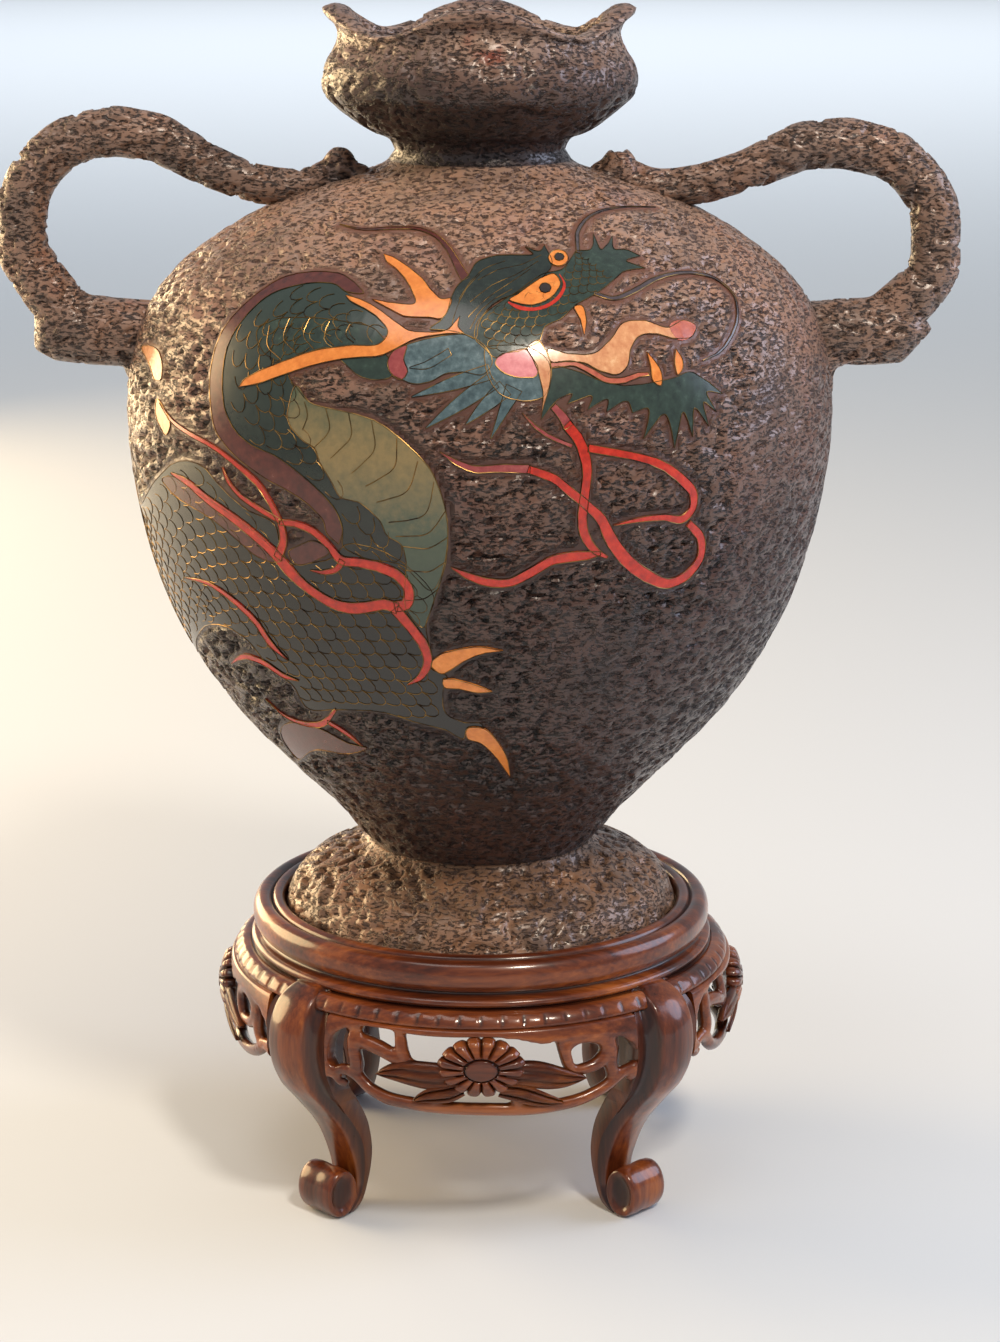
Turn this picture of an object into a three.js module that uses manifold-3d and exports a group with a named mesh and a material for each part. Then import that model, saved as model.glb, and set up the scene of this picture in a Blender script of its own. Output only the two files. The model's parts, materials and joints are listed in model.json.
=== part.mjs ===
// A cloisonne vase with a bark-like ground, two twig handles and a lotus-lobed mouth,
// standing in the recess of a carved hardwood stand with four scroll-footed legs.
// Millimetres, +Z up, the origin on the floor under the middle of the stand, the front towards -Y.
import * as THREE from "three";
import { mergeVertices } from "three/addons/utils/BufferGeometryUtils.js";
import Module from "manifold-3d";

const wasm = await Module();
wasm.setup();

// Driving dimensions of the vase
const footRadius = 66.5;
const footHeight = 26;
const footRingWidth = 7;
const waistRadius = 38;
const bellyRadius = 116.6;
const bellyHeight = 144;
const shoulderHeight = 89;
const neckRadius = 27.8;
const mouthRadius = 51;
const mouthHeight = 45.5;
const lobeDrop = 6.5;
const lobeCurl = 3.2;
const vaseWall = 5.5;
const floorThickness = 7;
const barkRise = 0.9;

// Driving dimensions of the twig handles
const handleReach = 158;
const handleTop = 33.5;
const handleFoot = 55;
const twigRadius = 8;
const twigThin = 4.4;
const rootRadius = 11;
const knobRadius = 5.4;
const knobOffset = 18.5;
const handleTilt = 2.1;
const armStandOff = 8;
const elbowInset = 14;

// Driving dimensions of the stand
const boardThickness = 14.5;
const recessDepth = 6.1;
const seatClearance = 1.5;
const rimLipWidth = 3.6;
const rimMouldWidth = 6.9;
const rimMouldHeight = 10.4;
const neckingInset = 3.4;
const bandRadius = 85;
const bandHeight = 4.3;
const bandSlope = 4.6;
const legHeight = 77;
const kneeOut = 8.3;
const ribWidth = 15;
const wingWidth = 28;
const toeRadius = 8.8;
const toeReach = 79.8;
const toeWidth = 16.5;
const toeNotchRadius = 2.6;
const apronHeight = 30;
const apronThickness = 5.5;
const apronBulge = 3.6;
const apronLip = 1;
const flowerWidth = 28.6;
const flowerHeight = 20.6;
const flowerRise = 3.8;
const apronHalf = 51;

// Space left between two pieces that touch
const gap = 0.3;

// How finely round forms are cut
const vaseSides = 32;
const standSides = 28;
const twigSides = 8;
const twigSteps = 18;
const petals = 16;

// Heights that follow from these
const recessFloor = legHeight + boardThickness;
const standHeight = recessFloor + recessDepth;
const vaseBase = recessFloor + gap;
const waistZ = vaseBase + footHeight;
const bellyZ = waistZ + bellyHeight;
const neckZ = bellyZ + shoulderHeight;
const rimZ = neckZ + mouthHeight;
const ringInner = footRadius + seatClearance;
const ringOuter = ringInner + rimLipWidth + rimMouldWidth;
const kneeReach = bandRadius + kneeOut;

// Outlines are lists of [share of the radius range, share of the height range]
const footOutline = [[1, 0.12], [0.965, 0.29], [0.895, 0.44], [0.75, 0.59], [0.44, 0.74], [0.16, 0.86], [0.03, 0.95]];
const lowerOutline = [[0, 0], [0.08, 0.05], [0.25, 0.155], [0.5, 0.295], [0.745, 0.48], [0.92, 0.725], [1, 1]];
const upperOutline = [[1, 0], [0.959, 0.31], [0.83, 0.55], [0.6, 0.725], [0.33, 0.848], [0.09, 0.925], [0, 1]];
const mouthOutline = [[0, 0], [0.06, 0.075], [0.59, 0.22], [0.94, 0.39], [1, 0.5], [0.84, 0.7], [0.75, 0.84]];

// A list's points between two radii and two heights
function placed(outline, radiusFrom, radiusTo, zFrom, zTo) {
  return outline.map(([r, z]) => {
    const radius = THREE.MathUtils.lerp(radiusFrom, radiusTo, r);
    const height = THREE.MathUtils.lerp(zFrom, zTo, z);
    return new THREE.Vector2(radius, height);
  });
}

// A smooth line through outline points, as that many straight steps
function smoothed(points, steps) {
  return new THREE.SplineCurve(points).getPoints(steps);
}

// The line moved sideways to its left by a wall's thickness
function offsetInwards(line, distance) {
  return line.map((point, i) => {
    const before = line[Math.max(i - 1, 0)];
    const after = line[Math.min(i + 1, line.length - 1)];
    const along = after.clone().sub(before).normalize();
    return new THREE.Vector2(point.x - along.y * distance, point.y + along.x * distance);
  });
}

// A turned solid from a profile of [radius, height] points that runs up its outside
function turned(profile, sides) {
  const ends = [profile[0], profile[profile.length - 1]];
  const onAxis = ends.every((point) => point.x === 0);
  const line = onAxis ? profile : [...profile, profile[0].clone()];
  return new THREE.LatheGeometry(line, sides).rotateX(Math.PI / 2);
}

// Vertices moved one by one
function reshaped(geometry, move) {
  const position = geometry.attributes.position;
  const vertex = new THREE.Vector3();
  for (let i = 0; i < position.count; i++) {
    vertex.fromBufferAttribute(position, i);
    move(vertex);
    position.setXYZ(i, vertex.x, vertex.y, vertex.z);
  }
  return geometry;
}

// A closed skin over a row of sections: place(spoke, step) gives each point, spoke -1 the middle of an end
function lofted(sides, steps, place) {
  const skin = new THREE.CylinderGeometry(1, 1, 1, sides, steps);
  return reshaped(skin, (vertex) => {
    const turn = Math.atan2(vertex.x, vertex.z) / (2 * Math.PI);
    const rim = Math.hypot(vertex.x, vertex.z) > 0.5;
    const spoke = rim ? Math.round(turn * sides + sides) % sides : -1;
    const step = Math.round((0.5 - vertex.y) * steps);
    vertex.copy(place(spoke, step));
  });
}

function solidOf(geometry) {
  const bare = geometry.clone();
  bare.deleteAttribute("normal");
  bare.deleteAttribute("uv");
  const merged = mergeVertices(bare, 1e-3);
  return new wasm.Manifold(
    new wasm.Mesh({
      numProp: 3,
      vertProperties: merged.attributes.position.array,
      triVerts: new Uint32Array(merged.index.array),
    }),
  );
}

function geometryOf(solid) {
  const mesh = solid.getMesh();
  const geometry = new THREE.BufferGeometry();
  geometry.setAttribute("position", new THREE.BufferAttribute(mesh.vertProperties, 3));
  geometry.setIndex(new THREE.BufferAttribute(mesh.triVerts, 1));
  geometry.computeVertexNormals();
  return geometry;
}

// Gnarled bark: a slow swelling and shrinking of the surface, between -1 and 1
function gnarl(x, y, z) {
  const coarse = Math.sin(0.31 * x + 1.3) * Math.cos(0.27 * y - 0.4) * Math.sin(0.36 * z + 0.8);
  const fine = Math.sin(0.71 * x - 0.53 * y + 0.6 * z);
  return 0.6 * coarse + 0.4 * fine;
}

const ceramic = new THREE.MeshStandardMaterial({ color: 0x4a332c, roughness: 0.5, metalness: 0.1 });
const hardwood = new THREE.MeshStandardMaterial({ color: 0x7a3620, roughness: 0.35, metalness: 0 });

// The vase: a hollow turned shell from its foot to its lobed mouth, one casting with its handles
function bodyOutline(lowerSteps, upperSteps, mouthSteps) {
  const lower = smoothed(placed(lowerOutline, waistRadius, bellyRadius, waistZ, bellyZ), lowerSteps);
  const upper = smoothed(placed(upperOutline, neckRadius, bellyRadius, bellyZ, neckZ), upperSteps);
  const mouth = smoothed(placed(mouthOutline, neckRadius, mouthRadius, neckZ, rimZ), mouthSteps);
  return [...lower, ...upper.slice(1), ...mouth.slice(1)];
}

const footLine = smoothed(placed(footOutline, waistRadius, footRadius, vaseBase, waistZ), 6);
const bodyLine = bodyOutline(7, 9, 7);
const lipRadius = bodyLine[bodyLine.length - 1].x;

// Radius of the body's outside at a height
function bodyRadiusAt(z) {
  const i = bodyLine.findIndex((point, n) => n > 0 && point.y >= z);
  const low = bodyLine[i - 1];
  const high = bodyLine[i];
  return THREE.MathUtils.mapLinear(z, low.y, high.y, low.x, high.x);
}

// Height of the shoulder above a radius
function shoulderHeightAt(radius) {
  const i = bodyLine.findIndex((point) => point.y > bellyZ && point.x <= radius);
  const outer = bodyLine[i - 1];
  const inner = bodyLine[i];
  return THREE.MathUtils.mapLinear(radius, outer.x, inner.x, outer.y, inner.y);
}

// The hollow inside, from just above the floor of the vessel up to the lip
const hollowFloorZ = waistZ + 0.5 * floorThickness;

function hollowLine(wall) {
  return offsetInwards(bodyOutline(4, 5, 4), wall).filter((point) => point.y > waistZ + 2 * floorThickness);
}

const innerLine = hollowLine(vaseWall);

function shell() {
  const underside = [
    new THREE.Vector2(0, waistZ - 0.5 * floorThickness),
    new THREE.Vector2(waistRadius - vaseWall - 2, waistZ - 0.5 * floorThickness - 3),
    new THREE.Vector2(footRadius - footRingWidth, vaseBase),
    new THREE.Vector2(footRadius - 1.4, vaseBase),
  ];
  const lip = [
    new THREE.Vector2(lipRadius + 1.4, rimZ - 0.09 * mouthHeight),
    new THREE.Vector2(lipRadius - 0.4, rimZ),
    new THREE.Vector2(lipRadius - 0.75 * vaseWall, rimZ - 1.4),
  ];
  const hollow = [
    ...innerLine.toReversed(),
    new THREE.Vector2(waistRadius - vaseWall, hollowFloorZ),
    new THREE.Vector2(0, hollowFloorZ),
  ];
  return turned([...underside, ...footLine, ...bodyLine, ...lip, ...hollow], vaseSides);
}

// Four lobes: tips to the front, back and sides that stand higher and curl outwards
function lobes(vertex) {
  const bulbZ = neckZ + 0.5 * mouthHeight;
  const rise = THREE.MathUtils.clamp((vertex.z - bulbZ) / (rimZ - bulbZ), 0, 1);
  const angle = Math.atan2(vertex.y, vertex.x);
  const tip = 0.5 + 0.5 * Math.cos(4 * angle);
  const radius = Math.hypot(vertex.x, vertex.y);
  if (rise === 0 || radius === 0) return;
  const curled = radius + rise ** 3 * (lobeCurl * tip - lobeCurl);
  vertex.x *= curled / radius;
  vertex.y *= curled / radius;
  vertex.z -= rise ** 2 * lobeDrop * (1 - tip);
}

// Bark on the foot and the bulb of the mouth, where it stands out most
function bark(vertex) {
  const radius = Math.hypot(vertex.x, vertex.y);
  const onFoot = vertex.z > vaseBase + 1 && vertex.z < waistZ && radius > waistRadius;
  const onMouth = vertex.z > neckZ + 4 && radius > neckRadius + vaseWall;
  if (!onFoot && !onMouth) return;
  const room = Math.min(radius + barkRise * gnarl(vertex.x, vertex.y, vertex.z), onFoot ? footRadius : radius + 1);
  vertex.x *= room / radius;
  vertex.y *= room / radius;
}

// A handle: a twig that grows out of the shoulder, loops out and roots in the side, seen in the XZ plane
function twig(tilt) {
  const rootZ = bellyZ + 0.32 * shoulderHeight;
  const crestZ = rootZ + 0.5 * handleFoot + handleTop;
  const loopZ = rootZ + 0.53 * handleFoot;
  const tipX = neckRadius + 0.6 * knobOffset;
  const outX = handleReach - twigRadius;
  const leaveX = 0.62 * bellyRadius;
  const onShoulder = (x, above) => [x, shoulderHeightAt(x) + above];
  const rootX = bodyRadiusAt(rootZ) - 0.5 * vaseWall;
  const points = [
    onShoulder(tipX, -0.2),
    onShoulder(0.5 * (tipX + leaveX), 2),
    onShoulder(leaveX, armStandOff),
    [leaveX + 0.34 * (outX - leaveX), crestZ - 3.5 + tilt],
    [leaveX + 0.62 * (outX - leaveX), crestZ + 0.5 + tilt],
    [outX - 8, crestZ - 9 + tilt],
    [outX, loopZ + 4 + tilt],
    [outX - 4.5, rootZ + 0.3 * handleFoot + tilt],
    [outX - elbowInset, rootZ + 7 + tilt],
    [rootX, rootZ + 0.5 * tilt],
  ];
  const curve = new THREE.CatmullRomCurve3(points.map(([x, z]) => new THREE.Vector3(x, 0, z)), false, "centripetal");
  const across = new THREE.Vector3(0, 1, 0);
  return lofted(twigSides, twigSteps, (spoke, step) => {
    const along = step / twigSteps;
    const centre = curve.getPointAt(along);
    if (spoke < 0) return centre;
    const tangent = curve.getTangentAt(along);
    const normal = across.clone().cross(tangent);
    const angle = (2 * Math.PI * spoke) / twigSides;
    const grown = THREE.MathUtils.smoothstep(along, 0.05, 0.5);
    const rooted = THREE.MathUtils.smoothstep(along, 0.86, 1);
    const limb = THREE.MathUtils.lerp(twigThin, twigRadius, grown);
    const rough = 0.06 * Math.sin(23 * along + 2 * angle) + 0.05 * Math.sin(41 * along - angle);
    const radius = THREE.MathUtils.lerp(limb, rootRadius, rooted) * (1 + rough);
    centre.addScaledVector(normal, Math.sin(angle) * radius);
    return centre.addScaledVector(across, Math.cos(angle) * radius);
  });
}

// The pruned stub at the twig's thin end, and the root that runs down the side under the thick end
function ball(x, z, halfX, halfY, halfZ) {
  return new THREE.SphereGeometry(1, 8, 5).scale(halfX, halfY, halfZ).translate(x, 0, z);
}

function handle(tilt) {
  const rootZ = bellyZ + 0.32 * shoulderHeight;
  const knobX = neckRadius + knobOffset;
  const knob = ball(knobX, shoulderHeightAt(knobX) + 0.75 * knobRadius, knobRadius, knobRadius, 1.2 * knobRadius);
  const runZ = rootZ - rootRadius;
  const run = ball(bodyRadiusAt(runZ) - 1, runZ, 0.5 * rootRadius, 0.8 * rootRadius, 1.3 * rootRadius);
  return solidOf(twig(tilt)).add(solidOf(knob)).add(solidOf(run));
}

function vase() {
  const body = solidOf(reshaped(shell(), (vertex) => {
    lobes(vertex);
    bark(vertex);
  }));
  const bore = hollowLine(vaseWall - gap);
  const top = new THREE.Vector2(0, bore[bore.length - 1].y);
  const clear = solidOf(turned([new THREE.Vector2(0, bore[0].y), ...bore, top], vaseSides));
  const right = handle(-handleTilt).subtract(clear);
  const left = handle(handleTilt).rotate([0, 0, 180]).subtract(clear);
  return geometryOf(body.add(right).add(left));
}

// The stand's top: a turned board with a recess for the foot, a moulded rim, a necking and a slanted band
function boardProfile(grow) {
  const mouldZ = standHeight - rimMouldHeight - 0.5;
  const bandTopZ = legHeight + bandHeight;
  const neckingRadius = ringOuter - neckingInset;
  const mould = [];
  for (let i = 0; i <= 5; i++) {
    const angle = THREE.MathUtils.lerp(-0.5 * Math.PI, 0.5 * Math.PI, i / 5);
    const radius = ringOuter - 0.5 * rimMouldWidth + 0.5 * rimMouldWidth * Math.cos(angle);
    const height = mouldZ + 0.5 * rimMouldHeight * (1 + Math.sin(angle));
    mould.push(new THREE.Vector2(radius + grow, height));
  }
  return [
    new THREE.Vector2(bandRadius + grow, legHeight - grow),
    new THREE.Vector2(bandRadius + grow, legHeight + 0.6),
    new THREE.Vector2(bandRadius - bandSlope + grow, bandTopZ),
    new THREE.Vector2(neckingRadius + 1.6 + grow, bandTopZ + 0.5),
    new THREE.Vector2(neckingRadius + 1.8 + grow, bandTopZ + 1.8),
    new THREE.Vector2(neckingRadius + grow, bandTopZ + 3.2),
    ...mould,
  ];
}

function standTop() {
  const edge = boardProfile(0);
  const grooveRadius = ringInner + rimLipWidth;
  return turned([
    new THREE.Vector2(0, legHeight),
    ...edge,
    new THREE.Vector2(grooveRadius + 0.8, standHeight - 1.3),
    new THREE.Vector2(grooveRadius, standHeight),
    new THREE.Vector2(ringInner, standHeight),
    new THREE.Vector2(ringInner, recessFloor),
    new THREE.Vector2(0, recessFloor),
  ], standSides);
}

// What the legs and aprons are cut by so that they fit under and around the board
function boardSpace() {
  const edge = boardProfile(gap);
  const top = edge[edge.length - 1];
  const bottom = new THREE.Vector2(0, legHeight - gap);
  return solidOf(turned([bottom, ...edge, new THREE.Vector2(0, top.y)], standSides));
}

// A cabriole leg as rows of [height share, outer reach share, inner reach share, rib share, wing share]
const legRows = [
  [1.065, 0.895, 0.8, 0.9, 0.7],
  [1.03, 0.942, 0.8, 0.96, 0.8],
  [0.95, 0.985, 0.81, 1, 1],
  [0.84, 1, 0.83, 1, 1],
  [0.74, 0.99, 0.83, 1, 1],
  [0.65, 0.958, 0.8, 0.98, 0.96],
  [0.53, 0.878, 0.715, 0.95, 0.68],
  [0.37, 0.775, 0.642, 0.92, 0.52],
  [0.26, 0.738, 0.628, 0.9, 0.5],
  [0.12, 0.74, 0.67, 0.86, 0.48],
];
const legSides = 12;

function legBlank() {
  return lofted(legSides, legRows.length - 1, (spoke, step) => {
    const [height, outer, inner, rib, wing] = legRows[step];
    const z = height * legHeight;
    const out = outer * kneeReach;
    const back = inner * kneeReach;
    const ribEdge = 0.5 * ribWidth * rib;
    const wingEdge = Math.max(0.5 * wingWidth * wing, ribEdge + 0.3);
    const cove = Math.max(out - 5.6, back + 1.5);
    if (spoke < 0) return new THREE.Vector3(0.5 * (out + back), 0, z);
    const half = [
      [out, 0],
      [out - 0.7, 0.6 * ribEdge],
      [out - 2.6, ribEdge],
      [cove, ribEdge + 0.2],
      [cove - 0.8, wingEdge],
      [back, wingEdge],
      [back, 0],
    ];
    const side = spoke <= 6 ? 1 : -1;
    const [radius, across] = half[side > 0 ? spoke : legSides - spoke];
    return new THREE.Vector3(radius, side * across, z);
  });
}

// The foot of a leg: a barrel-shaped curl with a notch where it rolls away from the ankle
function toe() {
  const facet = Math.PI / 12;
  const round = toeRadius / Math.cos(facet);
  const barrel = new THREE.CylinderGeometry(1, 1, toeWidth, 12, 3).rotateY(facet);
  reshaped(barrel, (vertex) => {
    const atEnd = Math.abs(vertex.y) > 0.4 * toeWidth;
    const radius = atEnd ? 0.84 * round : round;
    if (!atEnd) vertex.y *= 2;
    vertex.x *= radius;
    vertex.z *= radius;
  });
  return barrel.translate(toeReach - toeRadius, 0, toeRadius);
}

function toeNotch() {
  const notch = new THREE.CylinderGeometry(toeNotchRadius, toeNotchRadius, 2 * toeWidth, 8);
  return notch.translate(toeReach - toeRadius - 0.6, 0, 2 * toeRadius - 1.2);
}

function leg(cutter, degrees) {
  const curl = solidOf(toe()).subtract(solidOf(toeNotch()));
  const whole = solidOf(legBlank()).add(curl).rotate([0, 0, degrees]);
  return geometryOf(whole.subtract(cutter));
}

// An apron: a piece of ring between two legs, pierced, with a flower in the middle
function apronRing() {
  const foot = legHeight - apronHeight;
  const rows = [
    [apronLip, 0],
    [apronBulge, 0.53],
    [apronLip + 1, 1],
  ];
  const outside = rows.map(([out, share]) => {
    return new THREE.Vector2(bandRadius - 0.6 + out, foot + (apronHeight - gap) * share);
  });
  const inside = outside.map((point) => new THREE.Vector2(point.x - apronThickness, point.y));
  return turned([...outside, ...inside.toReversed()], standSides);
}

// Holes of one half, in shares of the apron's half width and height: [across, up, half width, half height]
const apronHoles = [
  [0.35, 0.75, 0.155, 0.155],
  [0.655, 0.85, 0.115, 0.095],
  [0.69, 0.55, 0.115, 0.165],
  [0.92, 0.66, 0.06, 0.19],
];

function apronWindow() {
  const foot = legHeight - apronHeight;
  const half = apronHalf;
  const lift = (share) => foot + share * apronHeight;
  const outline = new THREE.Shape();
  outline.moveTo(-1.1 * half, lift(0.3));
  outline.lineTo(-0.82 * half, lift(0.32));
  outline.quadraticCurveTo(-0.78 * half, lift(0.13), -0.62 * half, lift(0.09));
  outline.quadraticCurveTo(0, lift(-0.05), 0.62 * half, lift(0.09));
  outline.quadraticCurveTo(0.78 * half, lift(0.13), 0.82 * half, lift(0.32));
  outline.lineTo(1.1 * half, lift(0.3));
  outline.lineTo(1.1 * half, lift(1.1));
  outline.lineTo(-1.1 * half, lift(1.1));
  const pierce = (across, up, halfWidth, halfHeight) => {
    const hole = new THREE.Path();
    hole.absellipse(across * half, lift(up), halfWidth * half, halfHeight * apronHeight, 0, 2 * Math.PI);
    outline.holes.push(hole);
  };
  apronHoles.forEach(([across, up, halfWidth, halfHeight]) => {
    pierce(across, up, halfWidth, halfHeight);
    pierce(-across, up, halfWidth, halfHeight);
  });
  pierce(0, 0.215, 0.15, 0.045);
  const depth = 1.2 * kneeReach;
  return new THREE.ExtrudeGeometry(outline, { depth, curveSegments: 3, bevelEnabled: false }).rotateX(Math.PI / 2);
}

// A many-petalled flower: a low cone with scalloped edge, facing the front
function flower() {
  const profile = [[0, -2.5], [1, 0.4], [0.34, 1], [0, 0.85]];
  const cone = turned(profile.map(([r, z]) => new THREE.Vector2(r, z > 0 ? z * flowerRise : z)), 2 * petals);
  reshaped(cone, (vertex) => {
    const petal = Math.cos(petals * Math.atan2(vertex.y, vertex.x));
    const edge = Math.hypot(vertex.x, vertex.y) > 0.9;
    const reach = edge ? 1 - 0.04 * (1 - petal) : 1;
    vertex.x *= 0.5 * flowerWidth * reach;
    vertex.y *= 0.5 * flowerHeight * reach;
    if (edge && vertex.z > 0) vertex.z -= 0.5 * (1 - petal);
  });
  const face = bandRadius - 0.6 + apronBulge - 1;
  return cone.rotateX(Math.PI / 2).translate(0, -face, legHeight - 0.385 * apronHeight);
}

// The room that two legs take at an apron's ends
function legSpace(degrees) {
  const box = new THREE.BoxGeometry(2 * kneeReach, wingWidth + 2 * gap, 3 * apronHeight);
  box.translate(kneeReach, 0, legHeight - apronHeight);
  return solidOf(box.rotateZ(THREE.MathUtils.degToRad(degrees)));
}

function apron(cutter, degrees) {
  const ring = solidOf(apronRing()).intersect(solidOf(apronWindow()));
  const carved = ring.add(solidOf(flower()));
  const fitted = carved.subtract(legSpace(-45)).subtract(legSpace(-135)).subtract(cutter);
  return geometryOf(fitted.rotate([0, 0, degrees]));
}

const model = new THREE.Group();

function place(name, geometry, material) {
  const mesh = new THREE.Mesh(geometry, material);
  mesh.name = name;
  model.add(mesh);
}

const cutter = boardSpace();
place("vase", vase(), ceramic);
place("stand_top", standTop(), hardwood);
const corners = { front_left: -135, front_right: -45, back_right: 45, back_left: 135 };
Object.entries(corners).forEach(([corner, degrees]) => {
  place("stand_leg_" + corner, leg(cutter, degrees), hardwood);
});
const sides = { front: 0, right: 90, back: 180, left: 270 };
Object.entries(sides).forEach(([side, degrees]) => {
  place("stand_apron_" + side, apron(cutter, degrees), hardwood);
});

export default model;
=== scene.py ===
# %% [markdown]
# # A bark-ground vase with a dragon in wire and enamel, on its carved stand
# The real vase is a ceramic body that was covered with a rough ground like tree bark. The dragon was
# laid out in fine brass wire, each cell between the wires was filled with enamel, and the whole was
# rubbed down flush. This lesson builds the looks round the finished CAD frame, in metres, piece by piece.

import json
import math

import bmesh
import bpy
from mathutils import Matrix, Vector, noise
from mathutils.bvhtree import BVHTree

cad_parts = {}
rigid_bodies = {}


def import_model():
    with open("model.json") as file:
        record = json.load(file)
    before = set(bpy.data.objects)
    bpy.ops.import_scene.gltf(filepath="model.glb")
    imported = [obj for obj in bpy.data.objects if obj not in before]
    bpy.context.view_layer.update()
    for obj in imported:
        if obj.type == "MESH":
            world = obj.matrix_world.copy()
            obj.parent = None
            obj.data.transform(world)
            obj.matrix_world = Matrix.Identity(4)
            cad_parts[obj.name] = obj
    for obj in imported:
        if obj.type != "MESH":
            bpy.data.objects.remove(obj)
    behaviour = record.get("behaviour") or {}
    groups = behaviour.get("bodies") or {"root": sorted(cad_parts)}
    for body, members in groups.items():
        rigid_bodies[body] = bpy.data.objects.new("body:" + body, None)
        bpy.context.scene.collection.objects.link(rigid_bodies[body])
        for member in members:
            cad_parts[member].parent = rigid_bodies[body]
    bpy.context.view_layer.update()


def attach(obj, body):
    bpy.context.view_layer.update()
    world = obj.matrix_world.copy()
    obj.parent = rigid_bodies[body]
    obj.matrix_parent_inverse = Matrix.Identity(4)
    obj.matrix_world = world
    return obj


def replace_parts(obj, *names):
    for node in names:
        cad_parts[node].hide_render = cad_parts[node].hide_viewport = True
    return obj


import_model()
MM = 0.001

# %% [markdown]
# ## The camera
# The camera comes first, because the dragon is drawn from the camera's own point of view. Its place,
# pitch and focal length were fitted to the photograph: the round foot, the stand's ring and the table
# are ellipses there, and their flatness gives the pitch. A long lens from a metre away keeps them so.

# %% Camera
PHOTO_WIDTH = 1000
PHOTO_HEIGHT = 1342
FOCAL_PIXELS = 3116
AXIS_COLUMN = 480
EYE = Vector((0, -1.0274, 0.4357))
PITCH = math.radians(14.24)
YAW = math.atan((0.5 * PHOTO_WIDTH - AXIS_COLUMN) / FOCAL_PIXELS)

camera = bpy.data.objects.new("camera", bpy.data.cameras.new("camera"))
bpy.context.scene.collection.objects.link(camera)
bpy.context.scene.camera = camera
camera.data.sensor_width = 36
camera.data.lens = 36 * FOCAL_PIXELS / PHOTO_HEIGHT
camera.location = EYE
camera.rotation_euler = (0.5 * math.pi - PITCH, 0, -YAW)


def sight_line(column, row):
    """The direction in which the camera sees a pixel of the photograph."""
    across = (column - 0.5 * PHOTO_WIDTH) / FOCAL_PIXELS
    down = (row - 0.5 * PHOTO_HEIGHT) / FOCAL_PIXELS
    return camera.rotation_euler.to_matrix() @ Vector((across, -down, -1))


print("lens in mm", round(camera.data.lens, 1))

# %% [markdown]
# ## Colours and nodes
# Colours are picked as sRGB hex values, as a paint chart gives them, and shaders need linear light. One
# function turns them over. The others each add one kind of node and give back what it puts out, so that a
# material reads as a list of what feeds what.


# %% Colour and node helpers
def linear(hex_colour):
    """An sRGB hex value as linear light, with alpha."""
    channels = [int(hex_colour[i:i + 2], 16) / 255 for i in (1, 3, 5)]
    return [c / 12.92 if c <= 0.04045 else ((c + 0.055) / 1.055) ** 2.4 for c in channels] + [1]


def feed(material, node, inputs):
    """Gives inputs of a node their values. A value that is another node's output is linked."""
    for key, value in inputs.items():
        if isinstance(value, bpy.types.NodeSocket):
            material.node_tree.links.new(value, node.inputs[key])
        else:
            node.inputs[key].default_value = value


def add_node(material, kind, inputs=None, **settings):
    node = material.node_tree.nodes.new("ShaderNode" + kind)
    for key, value in settings.items():
        setattr(node, key, value)
    feed(material, node, inputs or {})
    return node


def new_material(name):
    """A material with its shader alone, and the object's own coordinates."""
    material = bpy.data.materials.new(name)
    material.use_nodes = True
    material.node_tree.nodes.clear()
    shader = add_node(material, "BsdfPrincipled")
    add_node(material, "OutputMaterial", {"Surface": shader.outputs["BSDF"]})
    return material, shader, add_node(material, "TexCoord").outputs["Object"]


def cloud(material, place, size, detail=2, roughness=0.5, output="Fac"):
    """Cloudy noise whose lumps are about as large as a size."""
    return add_node(material, "TexNoise", {
        "Vector": place, "Scale": 1 / size, "Detail": detail, "Roughness": roughness}).outputs[output]


def spread(material, value, start=(0, 1), end=(0, 1), kind="LINEAR"):
    """A value that runs over the start, turned into one that runs over the end."""
    return add_node(material, "MapRange", {
        "Value": value, "From Min": start[0], "From Max": start[1], "To Min": end[0], "To Max": end[1],
    }, interpolation_type=kind).outputs["Result"]


def blend(material, factor, first, second, kind="MIX"):
    """Two colours blended by a factor."""
    return add_node(material, "Mix", {
        "Factor": factor, "A": first, "B": second}, data_type="RGBA", blend_type=kind).outputs["Result"]


def reckon(material, operation, *values, clamp=False):
    """What a sum of up to three values comes to."""
    return add_node(
        material, "Math", dict(enumerate(values)), operation=operation, use_clamp=clamp).outputs["Value"]


def painted(material, name):
    """A value that is painted on the mesh."""
    return add_node(material, "Attribute", attribute_name=name).outputs["Fac"]


def height_of(material, place):
    return add_node(material, "SeparateXYZ", {"Vector": place}).outputs["Z"]


def relief(material, height, depth, strength):
    """A bump of a depth in metres."""
    return add_node(material, "Bump", {
        "Height": height, "Distance": depth, "Strength": strength}).outputs["Normal"]


def colour_steps(material, factor, steps):
    """A colour ramp through (position, hex colour) steps."""
    ramp = add_node(material, "ValToRGB", {"Fac": factor})
    elements = ramp.color_ramp.elements
    elements[0].position, elements[0].color = steps[0][0], linear(steps[0][1])
    elements[1].position, elements[1].color = steps[-1][0], linear(steps[-1][1])
    for position, colour in steps[1:-1]:
        elements.new(position).color = linear(colour)
    return ramp.outputs["Color"]


# %% [markdown]
# ## Floor and light
# A plain pale floor carries the stand. It is wide, so that the camera looks down on it everywhere. The
# photograph has a warm broad light from the left, a soft cool one from the right and a ceiling light in
# front, which leaves the pale spot on the dragon's cheek. Big area lights give the same soft edges.

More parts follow.
